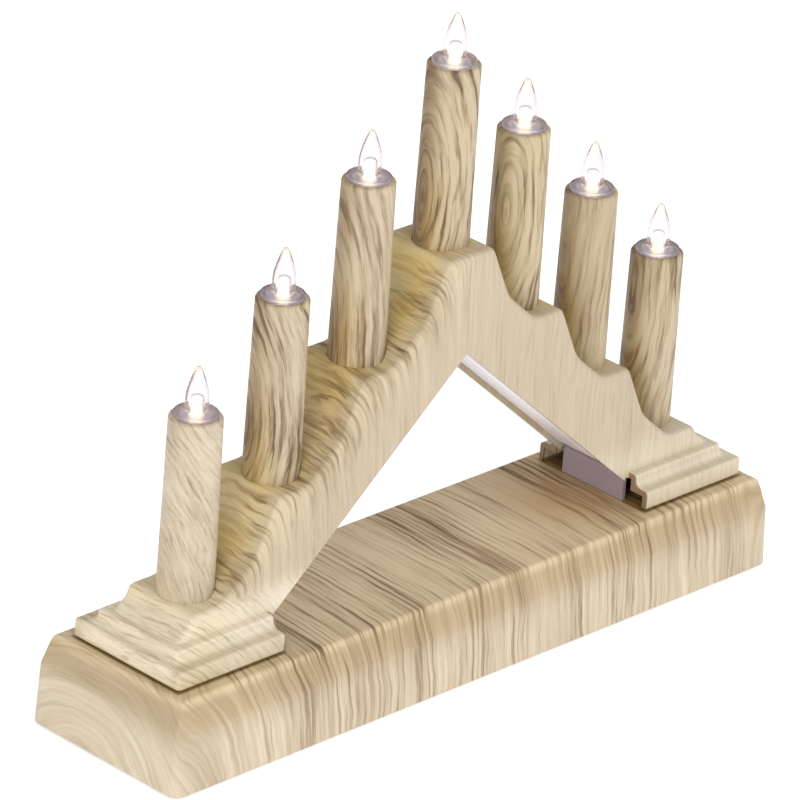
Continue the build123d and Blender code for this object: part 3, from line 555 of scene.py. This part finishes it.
def spun_profile(points, centre, steps=SEGMENTS):
    """A closed outline of radius and height, turned once round an upright axis"""
    bm = bmesh.new()
    verts = [bm.verts.new((centre[0] + radius, centre[1], centre[2] + height)) for radius, height in points]
    loops = [bm.edges.new((verts[index - 1], verts[index])) for index in range(len(verts))]
    bmesh.ops.spin(
        bm, geom=verts + loops, cent=centre, axis=(0.0, 0.0, 1.0), angle=math.tau, steps=steps,
        use_merge=True, use_duplicate=False,
    )
    bmesh.ops.remove_doubles(bm, verts=bm.verts, dist=MERGE)
    return bm


def round_ring(bm, centre, radius, height, width, steps):
    """Rounds the edge of a turned mesh that lies on one ring"""
    found = []
    for edge in bm.edges:
        on_ring = True
        for vert in edge.verts:
            reach = math.hypot(vert.co.x - centre[0], vert.co.y - centre[1])
            if abs(reach - radius) > RING_REACH or abs(vert.co.z - centre[2] - height) > RING_REACH:
                on_ring = False
        if on_ring:
            found.append(edge)
    bmesh.ops.bevel(
        bm, geom=found, offset=width, offset_type="OFFSET", segments=steps, profile=0.5, affect="EDGES",
        material=-1, clamp_overlap=True,
    )


def middle_of(node):
    """Middle of a node's box in plan, with its lowest and highest level"""
    low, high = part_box(node)
    return (low.x + high.x) / 2, (low.y + high.y) / 2, low.z, high.z


# Pieces
class CANDLEARCH_OT_base_housing(bpy.types.Operator):
    """Dress the long base: rings round its ends, streaks across the deck and down the walls"""

    bl_idname = "candle_arch.base_housing"
    bl_label = "Base housing"

    # Centre of the rings at each end, counted from that end, and the stretch of the rings
    left_shape = (-5.0, 9.0, -7.0), (1.0, 0.58, 0.72)
    right_shape = (30.0, -5.0, 2.0), (1.0, 0.50, 0.85)
    wobble = 5.0
    wobble_size = 0.020

    # Added to the left rings' radius, and what the right rings' radius is taken from, so that the two meet
    left_shift = 4.0
    right_turn = 259.0

    # Place in plan of the painted shadow on the deck, where the right leg shades it
    shadow_patch_place = (60.0, 4.0)

    def ring_radius(self, tree, spot, end, shape):
        """Radius of the rings round the centre near one end"""
        (past, depth, height), stretch = shape
        centre = (end / MM + past, depth, height)
        return split(tree, ring_grain(tree, spot, centre, stretch, self.wobble, self.wobble_size))[0]

    def execute(self, context):
        low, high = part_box("base_housing")
        top = high.z / MM
        material, tree, shader, spot = new_material("Wood base", Specular_IOR_Level=0.4)
        x, y, z = split(tree, spot)

        # Streaks: rings from the left end, and near the right end that end's own rings
        from_left = self.ring_radius(tree, spot, low.x, self.left_shape)
        from_left = calc(tree, "ADD", from_left, self.left_shift)
        from_right = self.ring_radius(tree, spot, high.x, self.right_shape)
        from_right = less(tree, self.right_turn, from_right)
        far_end = ramp_between(tree, x, 98.0, 109.0)
        across = raised(tree, less(tree, from_right, from_left), far_end, from_left)
        deck = ramp_between(tree, z, top - 3.0, top - 0.5)
        waves = less(tree, cloud(tree, spot, (0.06, 0.07, 0.10)), 0.5)
        across = raised(tree, waves, raised(tree, deck, -1.0, 2.2), across)
        vector = joined(tree, across, y, z)

        # Where the print changes, and where painted light and shade lie on the deck
        outward = calc(tree, "ABSOLUTE", x)
        inner = ramp_between(tree, outward, 104.0, 70.0)
        near_end = ramp_between(tree, x, -100.0, -108.0)
        shoulder = ramp_between(tree, z, 10.5, 21.5)
        # Painted shadow: a darker patch on the deck beside the right foot, under the leg
        from_shadow_patch = measure(tree, "DISTANCE", spot, (*self.shadow_patch_place, top))
        painted_shadow_patch = ramp_between(tree, from_shadow_patch, 32.0, 8.0)
        # Painted shade: a thin darker band on the deck round each foot, where the foot meets it
        beside = less(tree, calc(tree, "ABSOLUTE", less(tree, outward, FOOT_MIDDLE)), FOOT_HALF_LENGTH)
        ahead = less(tree, calc(tree, "ABSOLUTE", y), FOOT_HALF_DEPTH)
        from_foot = calc(tree, "MAXIMUM", beside, ahead)
        rim = times(tree, ramp_between(tree, from_foot, 0.9, 0.1), deck)
        # The deck's brighter tint is painted light on the top face; the patch and the band round the feet are
        # painted shade
        tints = (
            (1.0, (0.955, 0.92, 0.89)), (near_end, (1.05, 1.075, 1.10)),
            (shoulder, (0.80, 0.72, 0.60)), (deck, (1.205, 1.225, 1.24)),
            (painted_shadow_patch, (0.82, 0.73, 0.61)), (rim, (0.52, 0.43, 0.27)),
        )
        contrast = raised(tree, inner, 0.22, raised(tree, deck, 0.46, 0.38))
        brightness = raised(tree, deck, 0.06, -0.01)
        look = context.scene.candle_wood
        finish_wood(tree, shader, look, vector, contrast, brightness, fineness=1.05, length=1.5, tints=tints)
        merged_copy("base_housing", material)
        return {"FINISHED"}


class CANDLEARCH_OT_arch_shell(bpy.types.Operator):
    """Dress the stepped arch: upright streaks that lean on the left leg, short dashes on the left foot"""

    bl_idname = "candle_arch.arch_shell"
    bl_label = "Arch shell"

    # How the left leg's streaks bend away below its upper edge, and slant below the foot's level
    bend = 4.2
    bend_fade = 0.10
    bend_growth = 0.06
    foot_level = 42.0
    foot_slant = 0.75

    def execute(self, context):
        material, tree, shader, spot = new_material("Wood arch", Specular_IOR_Level=0.4)
        x, y, z = split(tree, spot)
        left = ramp_between(tree, x, 10.0, -12.0)
        outward = calc(tree, "ABSOLUTE", x)
        inset = calc(tree, "ABSOLUTE", y)
        steps_line = raised(tree, outward, -LEG_SLOPE, LEG_TOP)
        depth = calc(tree, "MAXIMUM", less(tree, steps_line, z), 0.0)

        # Streaks: bent below the left leg's upper edge and slanted on the left foot
        faded = calc(tree, "EXPONENT", times(tree, depth, -self.bend_fade))
        bend = raised(tree, faded, -self.bend, raised(tree, depth, self.bend_growth, self.bend))
        across = less(tree, x, times(tree, bend, left))
        wobble = less(tree, cloud(tree, spot, (0.035, 0.05, 0.030)), 0.5)
        across = raised(tree, wobble, 4.0, across)
        below = calc(tree, "MINIMUM", less(tree, z, self.foot_level), 0.0)
        across = raised(tree, times(tree, below, left), self.foot_slant, across)
        vector = joined(tree, across, y, z)

        # Where the print changes, and where painted light and shade lie
        above_foot = ramp_between(tree, z, 36.0, 48.0)
        foot = ramp_between(tree, z, 46.0, 36.0)
        left_foot = times(tree, foot, left)
        sunk = times(tree, ramp_between(tree, y, -LEG_HALF_DEPTH, -4.0), ramp_between(tree, y, 12.5, 9.0))
        # The coves' olive-gold tint is partly print and partly painted shade and bounced light between tube
        # and cove
        steps = times(tree, sunk, above_foot)
        steps_front = times(tree, steps, ramp_between(tree, y, 4.0, -7.0))
        steps_middle = times(tree, ramp_between(tree, inset, 9.5, 3.0), above_foot)
        edge = ramp_between(tree, depth, 22.0, 8.0)
        edge_line = times(tree, ramp_between(tree, depth, 14.0, 6.0), above_foot)
        walls = times(tree, less(tree, 1.0, sunk), above_foot)
        patches = cloud(tree, vector, (0.10, 0.03, 0.03), detail=1.0)
        patches = ramp_between(tree, patches, 0.35, 0.6, 0.55, 1.0)
        # Painted shade in the shadow joint along the bottom of the feet
        painted_joint_shade = ramp_between(tree, z, 27.0, 26.5)
        # Painted light: the left foot's top faces brightened
        painted_light_foot_top = times(tree, left_foot, ramp_between(tree, inset, 17.0, 14.0))
        # Painted shade: the foot's front and back walls darkened
        painted_shade_foot_wall = times(tree, foot, ramp_between(tree, inset, 16.0, 17.5))
        inner_end = FOOT_MIDDLE - FOOT_HALF_LENGTH
        beside_leg = ramp_between(tree, inset, LEG_HALF_DEPTH + 0.1, LEG_HALF_DEPTH + 0.4)
        # The feet's open ends darkened: partly their bare unprinted edge, partly painted shade in the foot's
        # hollow
        bare_and_shaded_end = ramp_between(tree, outward, inner_end + 0.7, inner_end + 0.3)
        bare_and_shaded_end = times(tree, bare_and_shaded_end, times(tree, foot, beside_leg))
        tints = (
            (times(tree, steps, patches), (0.95, 0.83, 0.48)),
            (times(tree, edge, left), (0.98, 0.95, 0.86)), (walls, (0.87, 0.84, 0.815)),
            (painted_joint_shade, (0.40, 0.33, 0.20)), (painted_light_foot_top, (1.12, 1.13, 1.19)),
            (painted_shade_foot_wall, (0.94, 0.92, 0.88)), (bare_and_shaded_end, (0.42, 0.33, 0.25)),
        )

        # Strength of the print
        extra = raised(tree, edge, 0.27, raised(tree, steps_front, 0.34, 0.02))
        extra = raised(tree, edge_line, 0.36, extra)
        contrast = raised(tree, left, extra, 0.21)
        contrast = times(tree, contrast, raised(tree, steps_middle, -0.22, 1.0))
        contrast = raised(tree, left_foot, 0.20, contrast)
        brightness = raised(tree, foot, 0.10, 0.02)
        length = raised(tree, left_foot, -0.30, 0.7)
        look = context.scene.candle_wood
        finish_wood(
            tree, shader, look, vector, contrast, brightness, fineness=1.1, length=length, tints=tints
        )
        merged_copy("arch_shell", material)
        return {"FINISHED"}


class CANDLEARCH_OT_soffit(bpy.types.Operator):
    """Dress the smooth strip under the legs with its two upright plates"""

    bl_idname = "candle_arch.soffit"
    bl_label = "Soffit"

    # Depths of the fine lines along the strip, and where the upright plates begin, in millimetres
    lines = (-4.5, 2.0, 6.0)
    line_strength = 0.42
    plate_start = 63.6

    def execute(self, context):
        look = context.scene.candle_finishes
        material, tree, shader, spot = new_material("Soffit plastic", Roughness=0.38)
        x, y = split(tree, spot)[:2]
        outward = calc(tree, "ABSOLUTE", x)
        upright = ramp_between(tree, outward, self.plate_start, self.plate_start + 0.6)
        back = ramp_between(tree, y, -3.0, 8.0)
        colour = blend(tree, back, (*look.soffit, 1), (*look.soffit_back, 1))
        for line in self.lines:
            from_line = calc(tree, "ABSOLUTE", less(tree, y, line))
            groove = ramp_between(tree, from_line, 0.9, 0.2, 0.0, self.line_strength)
            colour = blend(tree, groove, colour, (*look.groove, 1))
        # The upright plates take a dark colour that holds painted shade from the foot's hollow
        colour = blend(tree, upright, colour, (*look.plate_shade, 1))
        grain = fine_texture(tree, spot, colour, 0.08, 1.5)
        normal = relief(tree, grain["Height"], 0.3, 0.00003)
        feed(tree, shader, {"Base Color": grain["Color"], "Normal": normal})
        mesh = frame["nodes"]["arch_soffit"].data
        mesh.materials.clear()
        mesh.materials.append(material)
        return {"FINISHED"}


# One tube's print and painted shade: angle, height and reach of its ring centre, stretch of its rings,
# contrast, tone, fineness and length of its streaks, tint of the whole tube, and tint of its left side, which
# is painted shade
Figure = namedtuple("Figure", "angle height reach stretch contrast tone fineness length tint back")


class CANDLEARCH_OT_candle_tubes(bpy.types.Operator):
    """Turn the seven candle tubes and give each its own grain figure"""

    bl_idname = "candle_arch.candle_tubes"
    bl_label = "Candle tubes"

    figures = {
        1: Figure(150.0, -22.0, 6.0, 0.70, 0.46, 0.01, 1.7, 0.42, (0.91, 0.885, 0.87), (1.0, 0.99, 0.98)),
        2: Figure(150.0, 16.0, 1.40, 0.36, 1.02, 0.0, 1.3, 0.80, (0.78, 0.725, 0.66), (0.70, 0.61, 0.44)),
        3: Figure(150.0, 6.0, 1.45, 0.28, 0.92, 0.01, 1.1, 0.80, (0.79, 0.735, 0.665), (0.66, 0.57, 0.43)),
        4: Figure(176.0, 14.0, 1.05, 0.28, 1.12, -0.04, 1.2, 0.80, (0.76, 0.70, 0.61), (0.58, 0.47, 0.35)),
        5: Figure(200.0, 28.0, 1.04, 0.26, 1.00, 0.0, 1.2, 0.80, (0.77, 0.71, 0.59), (0.62, 0.53, 0.34)),
        6: Figure(170.0, 75.0, 2.2, 0.16, 0.56, 0.01, 1.2, 0.80, (0.77, 0.71, 0.61), (0.70, 0.61, 0.44)),
        7: Figure(172.0, 42.0, 1.12, 0.20, 0.88, 0.01, 1.2, 0.80, (0.77, 0.71, 0.62), (0.70, 0.61, 0.44)),
    }
    mean_radius = 7.3
    wobble = 1.6
    wobble_size = 0.07

    # The sides that face left and towards the camera, and the painted shade and olive tint laid on them
    left_side = (-0.70, 0.71, 0.0)
    front_side = (-0.71, -0.70, 0.0)
    left_painted_shade = 0.06
    first_foot_shade_tint = (1.0, 0.97, 0.90)
    foot_shade_tint = (0.95, 0.86, 0.54)

    def grain(self, look, number, centre, seat):
        """One tube's wood, its rings centred near the surface, with painted shade on its left side"""
        figure = self.figures[number]
        material, tree, shader, spot = new_material(f"Wood tube {number}", Specular_IOR_Level=0.4)
        distance = figure.reach * self.mean_radius
        middle = (
            centre[0] / MM + distance * math.cos(math.radians(figure.angle)),
            centre[1] / MM + distance * math.sin(math.radians(figure.angle)),
            seat / MM + figure.height,
        )
        rings = ring_grain(tree, spot, middle, (1.0, 1.0, figure.stretch), self.wobble, self.wobble_size)
        shift = (-centre[0] / MM, -centre[1] / MM, -seat / MM)
        centred = place(tree, "ShaderNodeMapping", {"Vector": spot, "Location": shift}).outputs[0]
        side = measure(tree, "DOT_PRODUCT", centred, self.left_side)
        ahead = measure(tree, "DOT_PRODUCT", centred, self.front_side)
        toward = ramp_between(tree, ahead, -6.5, -0.5, 0.35, 1.0)
        # Painted shade: the left side darkened in colour and tone, most on the side towards the camera
        back = times(tree, ramp_between(tree, side, 1.0, 7.2), toward)
        rise = split(tree, centred)[2]
        # Painted shade and bounced light: an olive tint low on the left side, near the seat
        foot = times(tree, ramp_between(tree, rise, 32.0, 2.0), ramp_between(tree, side, -4.0, 5.0))
        first = number == 1
        painted_shade = times(tree, ramp_between(tree, side, 2.0, 7.0), 0.0 if first else self.left_painted_shade)
        brightness = less(tree, figure.tone, times(tree, painted_shade, toward))
        foot_shade_tint = self.first_foot_shade_tint if first else self.foot_shade_tint
        tints = ((1.0, figure.tint), (foot, foot_shade_tint), (back, figure.back))
        finish_wood(
            tree, shader, look, rings, figure.contrast, brightness, fineness=figure.fineness,
            length=figure.length, tints=tints,
        )
        return material

    def execute(self, context):
        sizes = context.scene.candle_tube
        for number in CANDLES:
            node = f"candle_tube_{number}"
            x, y, low, high = middle_of(node)
            peg = sizes.spigot_length
            seat = low + peg
            height = high - seat
            centre = (x, y, seat)
            bm = spun_profile(
                [
                    (sizes.spigot_bore, -peg), (sizes.spigot_radius, -peg), (sizes.spigot_radius, 0.0),
                    (sizes.foot_radius, 0.0), (sizes.top_radius, height), (sizes.bore_radius, height),
                    (sizes.bore_radius, sizes.floor), (sizes.spigot_bore, sizes.floor),
                ],
                centre,
            )
            round_ring(bm, centre, sizes.top_radius, height, sizes.rim_round, 5)
            round_ring(bm, centre, sizes.bore_radius, height, sizes.rim_round / 5, 2)
            material = self.grain(context.scene.candle_wood, number, (x, y), seat)
            turned_piece(bm, f"tube_{number}", material, node)
        return {"FINISHED"}


class CANDLEARCH_OT_flame_lenses(bpy.types.Operator):
    """Turn the seven clear flames with their flanges and skirts"""

    bl_idname = "candle_arch.flame_lenses"
    bl_label = "Flame lenses"

    # Outline of the flame, in shares of its widest radius and its height
    flame_shares = (
        (1.0, 0.33), (0.975, 0.43), (0.90, 0.55), (0.77, 0.66), (0.60, 0.77), (0.42, 0.87), (0.26, 0.95),
        (0.14, 0.988), (0.0, 1.0),
    )
    # Dome of the hollow for the light: share of the bore's radius, and height above the rim
    dome = ((0.0, 0.0062), (0.38, 0.00608), (0.71, 0.00573), (0.92, 0.0052), (1.0, 0.0046))
    skirt_length = 0.004
    flange_round = 0.00035
    body_painted_glow = (0.40, 0.36, 0.42, 1)
    tip_painted_glow = (0.55, 0.46, 0.22, 1)

    def clear(self, sizes, number, rim, tip):
        """Clear moulding of one flame: frosted at the flange, with a painted glow that is warm at the foot
        and faintly yellow at the tip
        """
        material, tree, shader, spot = new_material(
            f"Clear flame {number}", Transmission_Weight=1.0, IOR=1.22, Metallic=0.0, Emission_Strength=0.11
        )
        rise = less(tree, split(tree, spot)[2], rim / MM)
        top = sizes.flange_thick / MM
        height = tip / MM
        flange = ramp_between(tree, rise, top + 0.5, top - 0.1)
        # Painted shade: the moulding darker and lilac where it is seen edge on
        facing = place(tree, "ShaderNodeLayerWeight", {"Blend": 0.5}).outputs["Facing"]
        edge = ramp_between(tree, facing, 0.02, 0.42)
        colour = blend(tree, edge, (*sizes.tint, 1), (*sizes.edge_shade_tint, 1))
        colour = blend(tree, flange, colour, (*sizes.flange_tint, 1))
        grain = fine_texture(tree, spot, colour, 0.03, 0.6)
        # Painted glow: the clear moulding itself gives off light, lilac over the body, warm at the foot,
        # yellow at the tip
        foot = times(tree, ramp_between(tree, rise, height * 0.55, 0.5), less(tree, 1.0, flange))
        end = ramp_between(tree, rise, height * 0.70, height)
        glow = blend(tree, foot, self.body_painted_glow, (*sizes.glow, 1))
        glow = blend(tree, end, glow, self.tip_painted_glow)
        rough = raised(tree, flange, 0.40, ramp_between(tree, grain["Mask"], 0.3, 0.7, 0.08, 0.13))
        feed(tree, shader, {"Base Color": grain["Color"], "Emission Color": glow, "Roughness": rough})
        return material

    def execute(self, context):
        sizes = context.scene.candle_flame
        for number in CANDLES:
            node = f"flame_lens_{number}"
            x, y, low, high = middle_of(node)
            skirt = self.skirt_length
            rim = low + skirt
            tip = high - rim
            flange = sizes.flange_thick
            centre = (x, y, rim)
            outline = [
                (sizes.bore_radius, 0.0), (sizes.skirt_bore, 0.0), (sizes.skirt_bore, -skirt),
                (sizes.skirt_radius, -skirt), (sizes.skirt_radius, 0.0), (sizes.flange_radius, 0.0),
                (sizes.flange_radius, flange), (sizes.foot_radius, flange),
                (sizes.foot_radius * 1.045, 0.23 * tip),
            ]
            outline += [(sizes.belly_radius * wide, tip * up) for wide, up in self.flame_shares]
            outline += [(sizes.bore_radius * wide, up) for wide, up in self.dome]
            bm = spun_profile(outline, centre)
            round_ring(bm, centre, sizes.flange_radius, flange, self.flange_round, 4)
            material = self.clear(sizes, number, rim, tip)
            turned_piece(bm, f"flame_{number}", material, node, sharp=40.0)
        return {"FINISHED"}


class CANDLEARCH_OT_lights(bpy.types.Operator):
    """Turn the seven warm lights that stand in the flames, each with its two legs"""

    bl_idname = "candle_arch.lights"
    bl_label = "Lights"

    dome_height = 0.0036
    outline = (
        (0.0, -0.001), (0.0019, -0.001), (0.0019, 0.0), (0.0015, 0.0), (0.0015, 0.0021), (0.00139, 0.00267),
        (0.00106, 0.00316), (0.00057, 0.00349), (0.0, dome_height),
    )
    leg_size = (0.0005, 0.0005, 0.006)
    leg_reach = 0.00127
    leg_drop = 0.004
    pale_glow = (1.0, 0.90, 0.70, 1)

    def execute(self, context):
        sizes = context.scene.candle_flame
        material, tree, shader, spot = new_material(
            "Warm light", Roughness=0.25, Emission_Strength=sizes.glow_strength
        )
        speck = cloud(tree, spot, (1.2, 1.2, 1.2), detail=1.0)
        warm = blend(tree, ramp_between(tree, speck, 0.3, 0.7), (*sizes.glow, 1), self.pale_glow)
        feed(tree, shader, {"Emission Color": warm, "Base Color": warm})
        for number in CANDLES:
            node = f"led_{number}"
            x, y, _, high = middle_of(node)
            rim = high - self.dome_height
            bm = spun_profile(self.outline, (x, y, rim), steps=32)
            for side in (-1, 1):
                leg = bmesh.ops.create_cube(bm, size=1.0)["verts"]
                bmesh.ops.scale(bm, vec=self.leg_size, verts=leg)
                bmesh.ops.translate(bm, vec=(x + side * self.leg_reach, y, rim - self.leg_drop), verts=leg)
            piece = turned_piece(bm, f"light_{number}", material, node)
            piece.visible_diffuse = False
        return {"FINISHED"}


class CANDLEARCH_OT_underside(bpy.types.Operator):
    """Dress the base plate, battery cover, rubber pads and screws"""

    bl_idname = "candle_arch.underside"
    bl_label = "Underside"

    def execute(self, context):
        look = context.scene.candle_finishes
        plastic, tree, shader, spot = new_material("Underside plastic", Roughness=0.52)
        grain = fine_texture(tree, spot, (*look.under, 1), 0.35, 2.6)
        normal = relief(tree, grain["Height"], 0.6, 0.00008)
        feed(tree, shader, {"Base Color": grain["Color"], "Normal": normal})
        rubber = speckled(
            "Rubber", (0.02, 0.02, 0.02), variation=0.5, size=4.0, rough=(0.75, 0.90), Specular_IOR_Level=0.3
        )
        steel = speckled(
            "Screw steel", (0.46, 0.46, 0.47), variation=0.3, size=6.0, rough=(0.25, 0.45), Metallic=1.0
        )
        for node in ("base_plate", "battery_cover"):
            merged_copy(node, plastic)
        merged_copy("rubber_pads", rubber)
        for node in ("base_screws", "arch_screws", "board_screws"):
            merged_copy(node, steel)
        return {"FINISHED"}


class CANDLEARCH_OT_battery_bay(bpy.types.Operator):
    """Dress the three cells and the four contacts"""

    bl_idname = "candle_arch.battery_bay"
    bl_label = "Battery bay"

    # Along a cell from its middle, in millimetres: where the band, the plus cap and the minus end start
    band_start = 12.4
    cap_start = 24.2
    minus_start = -24.7
    bare_metal = (0.62, 0.62, 0.61, 1)

    def execute(self, context):
        look = context.scene.candle_finishes
        for number in (1, 2, 3):
            node = f"battery_{number}"
            middle = middle_of(node)[0]
            turn = -1.0 if number == 2 else 1.0
            material, tree, shader, spot = new_material(f"Cell {number}")
            centred = place(
                tree, "ShaderNodeMapping",
                {"Vector": spot, "Location": (-turn * middle / MM, 0.0, 0.0), "Scale": (turn, 1.0, 1.0)},
            ).outputs[0]
            along = split(tree, centred)[0]
            band = ramp_between(tree, along, self.band_start, self.band_start + 0.2)
            cap = ramp_between(tree, along, self.cap_start, self.cap_start + 0.05)
            foot = ramp_between(tree, along, self.minus_start, self.minus_start - 0.05)
            bare = calc(tree, "MAXIMUM", cap, foot)
            wrapped = blend(tree, band, (*look.sleeve, 1), (*look.band, 1))
            worn = fine_texture(tree, spot, blend(tree, bare, wrapped, self.bare_metal), 0.15, 1.0)
            metal = calc(tree, "MAXIMUM", bare, times(tree, band, 0.6))
            rough = ramp_between(tree, worn["Mask"], 0.3, 0.7, 0.22, 0.34)
            feed(tree, shader, {"Base Color": worn["Color"], "Metallic": metal, "Roughness": rough})
            merged_copy(node, material)
        nickel = speckled("Contact nickel", (0.66, 0.65, 0.62), size=5.0, rough=(0.2, 0.4), Metallic=1.0)
        for node in ("contact_positive", "contact_link_right", "contact_link_left", "contact_negative"):
            merged_copy(node, nickel)
        return {"FINISHED"}


class CANDLEARCH_OT_circuit(bpy.types.Operator):
    """Dress the circuit board, its parts, the switch and the wires"""

    bl_idname = "candle_arch.circuit"
    bl_label = "Circuit"

    def execute(self, context):
        look = context.scene.candle_finishes
        board = speckled("Board green", look.board, variation=0.5, size=0.9, rough=(0.29, 0.41))
        black = speckled("Chip black", (0.012, 0.012, 0.013), rough=(0.44, 0.56))
        red = speckled("Wire red", (0.32, 0.012, 0.010))
        dark = speckled("Wire black", (0.015, 0.015, 0.016))
        knob = speckled("Knob black", (0.018, 0.018, 0.019), variation=0.3, size=4.0, rough=(0.36, 0.48))
        for node, material, slot in (
            ("circuit_board", board, "board_green"), ("control_chip", black, "chip_black"),
            ("resistors", black, "chip_black"), ("switch_case", black, "chip_black"),
            ("switch_slider", knob, "chip_black"), ("positive_lead", red, "wire_red"),
            ("negative_lead", dark, "wire_black"), ("wire_loom", dark, "wire_black"),
        ):
            merged_copy(node, material)
        return {"FINISHED"}


class CANDLEARCH_OT_stage(bpy.types.Operator):
    """Set the pale floor, the soft lights and the camera"""

    bl_idname = "candle_arch.stage"
    bl_label = "Stage"

    # Name, place, size and share of the key light's power
    lamps = (
        ("Key light", (-0.45, -1.35, 0.95), 0.9, 1.0),
        ("Right light", (1.1, -0.75, 0.7), 0.7, 0.8),
        ("Left light", (-1.3, -0.6, 0.5), 0.7, 1.15),
    )
    aim = (0.0, 0.0, 0.075)
    floor_reach = 8.0

    # The camera's own axes
    camera_right = (0.70876, -0.70204, 0.06932)
    camera_up = (0.25861, 0.34999, 0.90035)
    camera_back = (-0.65634, -0.62020, 0.42961)

    def lay_floor(self, scene, look):
        """The floor, which is seen through from below"""
        bm = bmesh.new()
        bmesh.ops.create_grid(bm, x_segments=1, y_segments=1, size=self.floor_reach)
        mesh = bpy.data.meshes.new("floor")
        bm.to_mesh(mesh)
        bm.free()
        material, tree, shader, spot = new_material(
            "Floor", Roughness=0.9, Specular_IOR_Level=0.1, Emission_Strength=0.40,
            Emission_Color=(1.0, 1.0, 1.0, 1.0),
        )
        dust = ramp_between(tree, cloud(tree, spot, (0.004, 0.004, 0.004)), 0.3, 0.7)
        paler = tuple(min(1.0, part * 1.01) for part in look.floor)
        tree.links.new(blend(tree, dust, (*look.floor, 1), (*paler, 1)), shader.inputs["Base Color"])
        below = place(tree, "ShaderNodeNewGeometry").outputs["Backfacing"]
        nothing = place(tree, "ShaderNodeBsdfTransparent").outputs[0]
        either = place(tree, "ShaderNodeMixShader", {0: below, 1: shader.outputs[0], 2: nothing})
        tree.links.new(either.outputs[0], tree.nodes["Material Output"].inputs[0])
        mesh.materials.append(material)
        floor = bpy.data.objects.new("floor", mesh)
        scene.collection.objects.link(floor)

    def set_lights(self, scene, look):
        """Even light from all round, and three soft lamps"""
        world = bpy.data.worlds.new("Surroundings")
        world.use_nodes = True
        background = world.node_tree.nodes["Background"]
        background.inputs["Color"].default_value = (1.0, 1.0, 1.0, 1.0)
        background.inputs["Strength"].default_value = look.sky_strength
        scene.world = world
        scene.view_settings.view_transform = "Standard"
        for name, lamp_place, size, share in self.lamps:
            lamp = bpy.data.lights.new(name, "AREA")
            lamp.shape = "SQUARE"
            lamp.size = size
            lamp.energy = look.key_power * share
            holder = bpy.data.objects.new(name, lamp)
            holder.location = lamp_place
            away = Vector(lamp_place) - Vector(self.aim)
            holder.rotation_euler = away.to_track_quat("Z", "Y").to_euler()
            scene.collection.objects.link(holder)

    def set_camera(self, scene, look):
        """The camera at the photograph's viewing angle"""
        data = bpy.data.cameras.new("Camera")
        data.sensor_width = 36.0
        data.lens = look.lens
        data.clip_start = 0.05
        data.clip_end = 50.0
        camera = bpy.data.objects.new("Camera", data)
        axes = Matrix((self.camera_right, self.camera_up, self.camera_back)).transposed()
        camera.matrix_world = Matrix.Translation(look.camera_place) @ axes.to_4x4()
        scene.collection.objects.link(camera)
        scene.camera = camera

    def execute(self, context):
        look = context.scene.candle_stage
        self.lay_floor(context.scene, look)
        self.set_lights(context.scene, look)
        self.set_camera(context.scene, look)
        return {"FINISHED"}


class CANDLEARCH_PT_panel(bpy.types.Panel):
    """Lists the pieces of the candle arch"""

    bl_label = "Candle arch"
    bl_idname = "CANDLEARCH_PT_panel"
    bl_space_type = "VIEW_3D"
    bl_region_type = "UI"
    bl_category = "Candle arch"

    def draw(self, context):
        for operator in operators:
            self.layout.operator(operator.bl_idname)


# Registration
groups = {
    "candle_wood": WoodPrint,
    "candle_tube": TubeSizes,
    "candle_flame": FlameSizes,
    "candle_finishes": PlainFinishes,
    "candle_stage": StageLook,
}
operators = (
    CANDLEARCH_OT_base_housing,
    CANDLEARCH_OT_arch_shell,
    CANDLEARCH_OT_soffit,
    CANDLEARCH_OT_candle_tubes,
    CANDLEARCH_OT_flame_lenses,
    CANDLEARCH_OT_lights,
    CANDLEARCH_OT_underside,
    CANDLEARCH_OT_battery_bay,
    CANDLEARCH_OT_circuit,
    CANDLEARCH_OT_stage,
)


def register():
    """Registers the settings, the operators and the panel"""
    for name, group in groups.items():
        bpy.utils.register_class(group)
        setattr(bpy.types.Scene, name, PointerProperty(type=group))
    for operator in operators:
        bpy.utils.register_class(operator)
    bpy.utils.register_class(CANDLEARCH_PT_panel)


def unregister():
    """Takes back what register did"""
    bpy.utils.unregister_class(CANDLEARCH_PT_panel)
    for operator in reversed(operators):
        bpy.utils.unregister_class(operator)
    for name, group in groups.items():
        delattr(bpy.types.Scene, name)
        bpy.utils.unregister_class(group)


def main():
    """Builds every piece and the stage"""
    register()
    bpy.ops.candle_arch.base_housing()
    bpy.ops.candle_arch.arch_shell()
    bpy.ops.candle_arch.soffit()
    bpy.ops.candle_arch.candle_tubes()
    bpy.ops.candle_arch.flame_lenses()
    bpy.ops.candle_arch.lights()
    bpy.ops.candle_arch.underside()
    bpy.ops.candle_arch.battery_bay()
    bpy.ops.candle_arch.circuit()
    bpy.ops.candle_arch.stage()


if __name__ == "__main__":
    main()
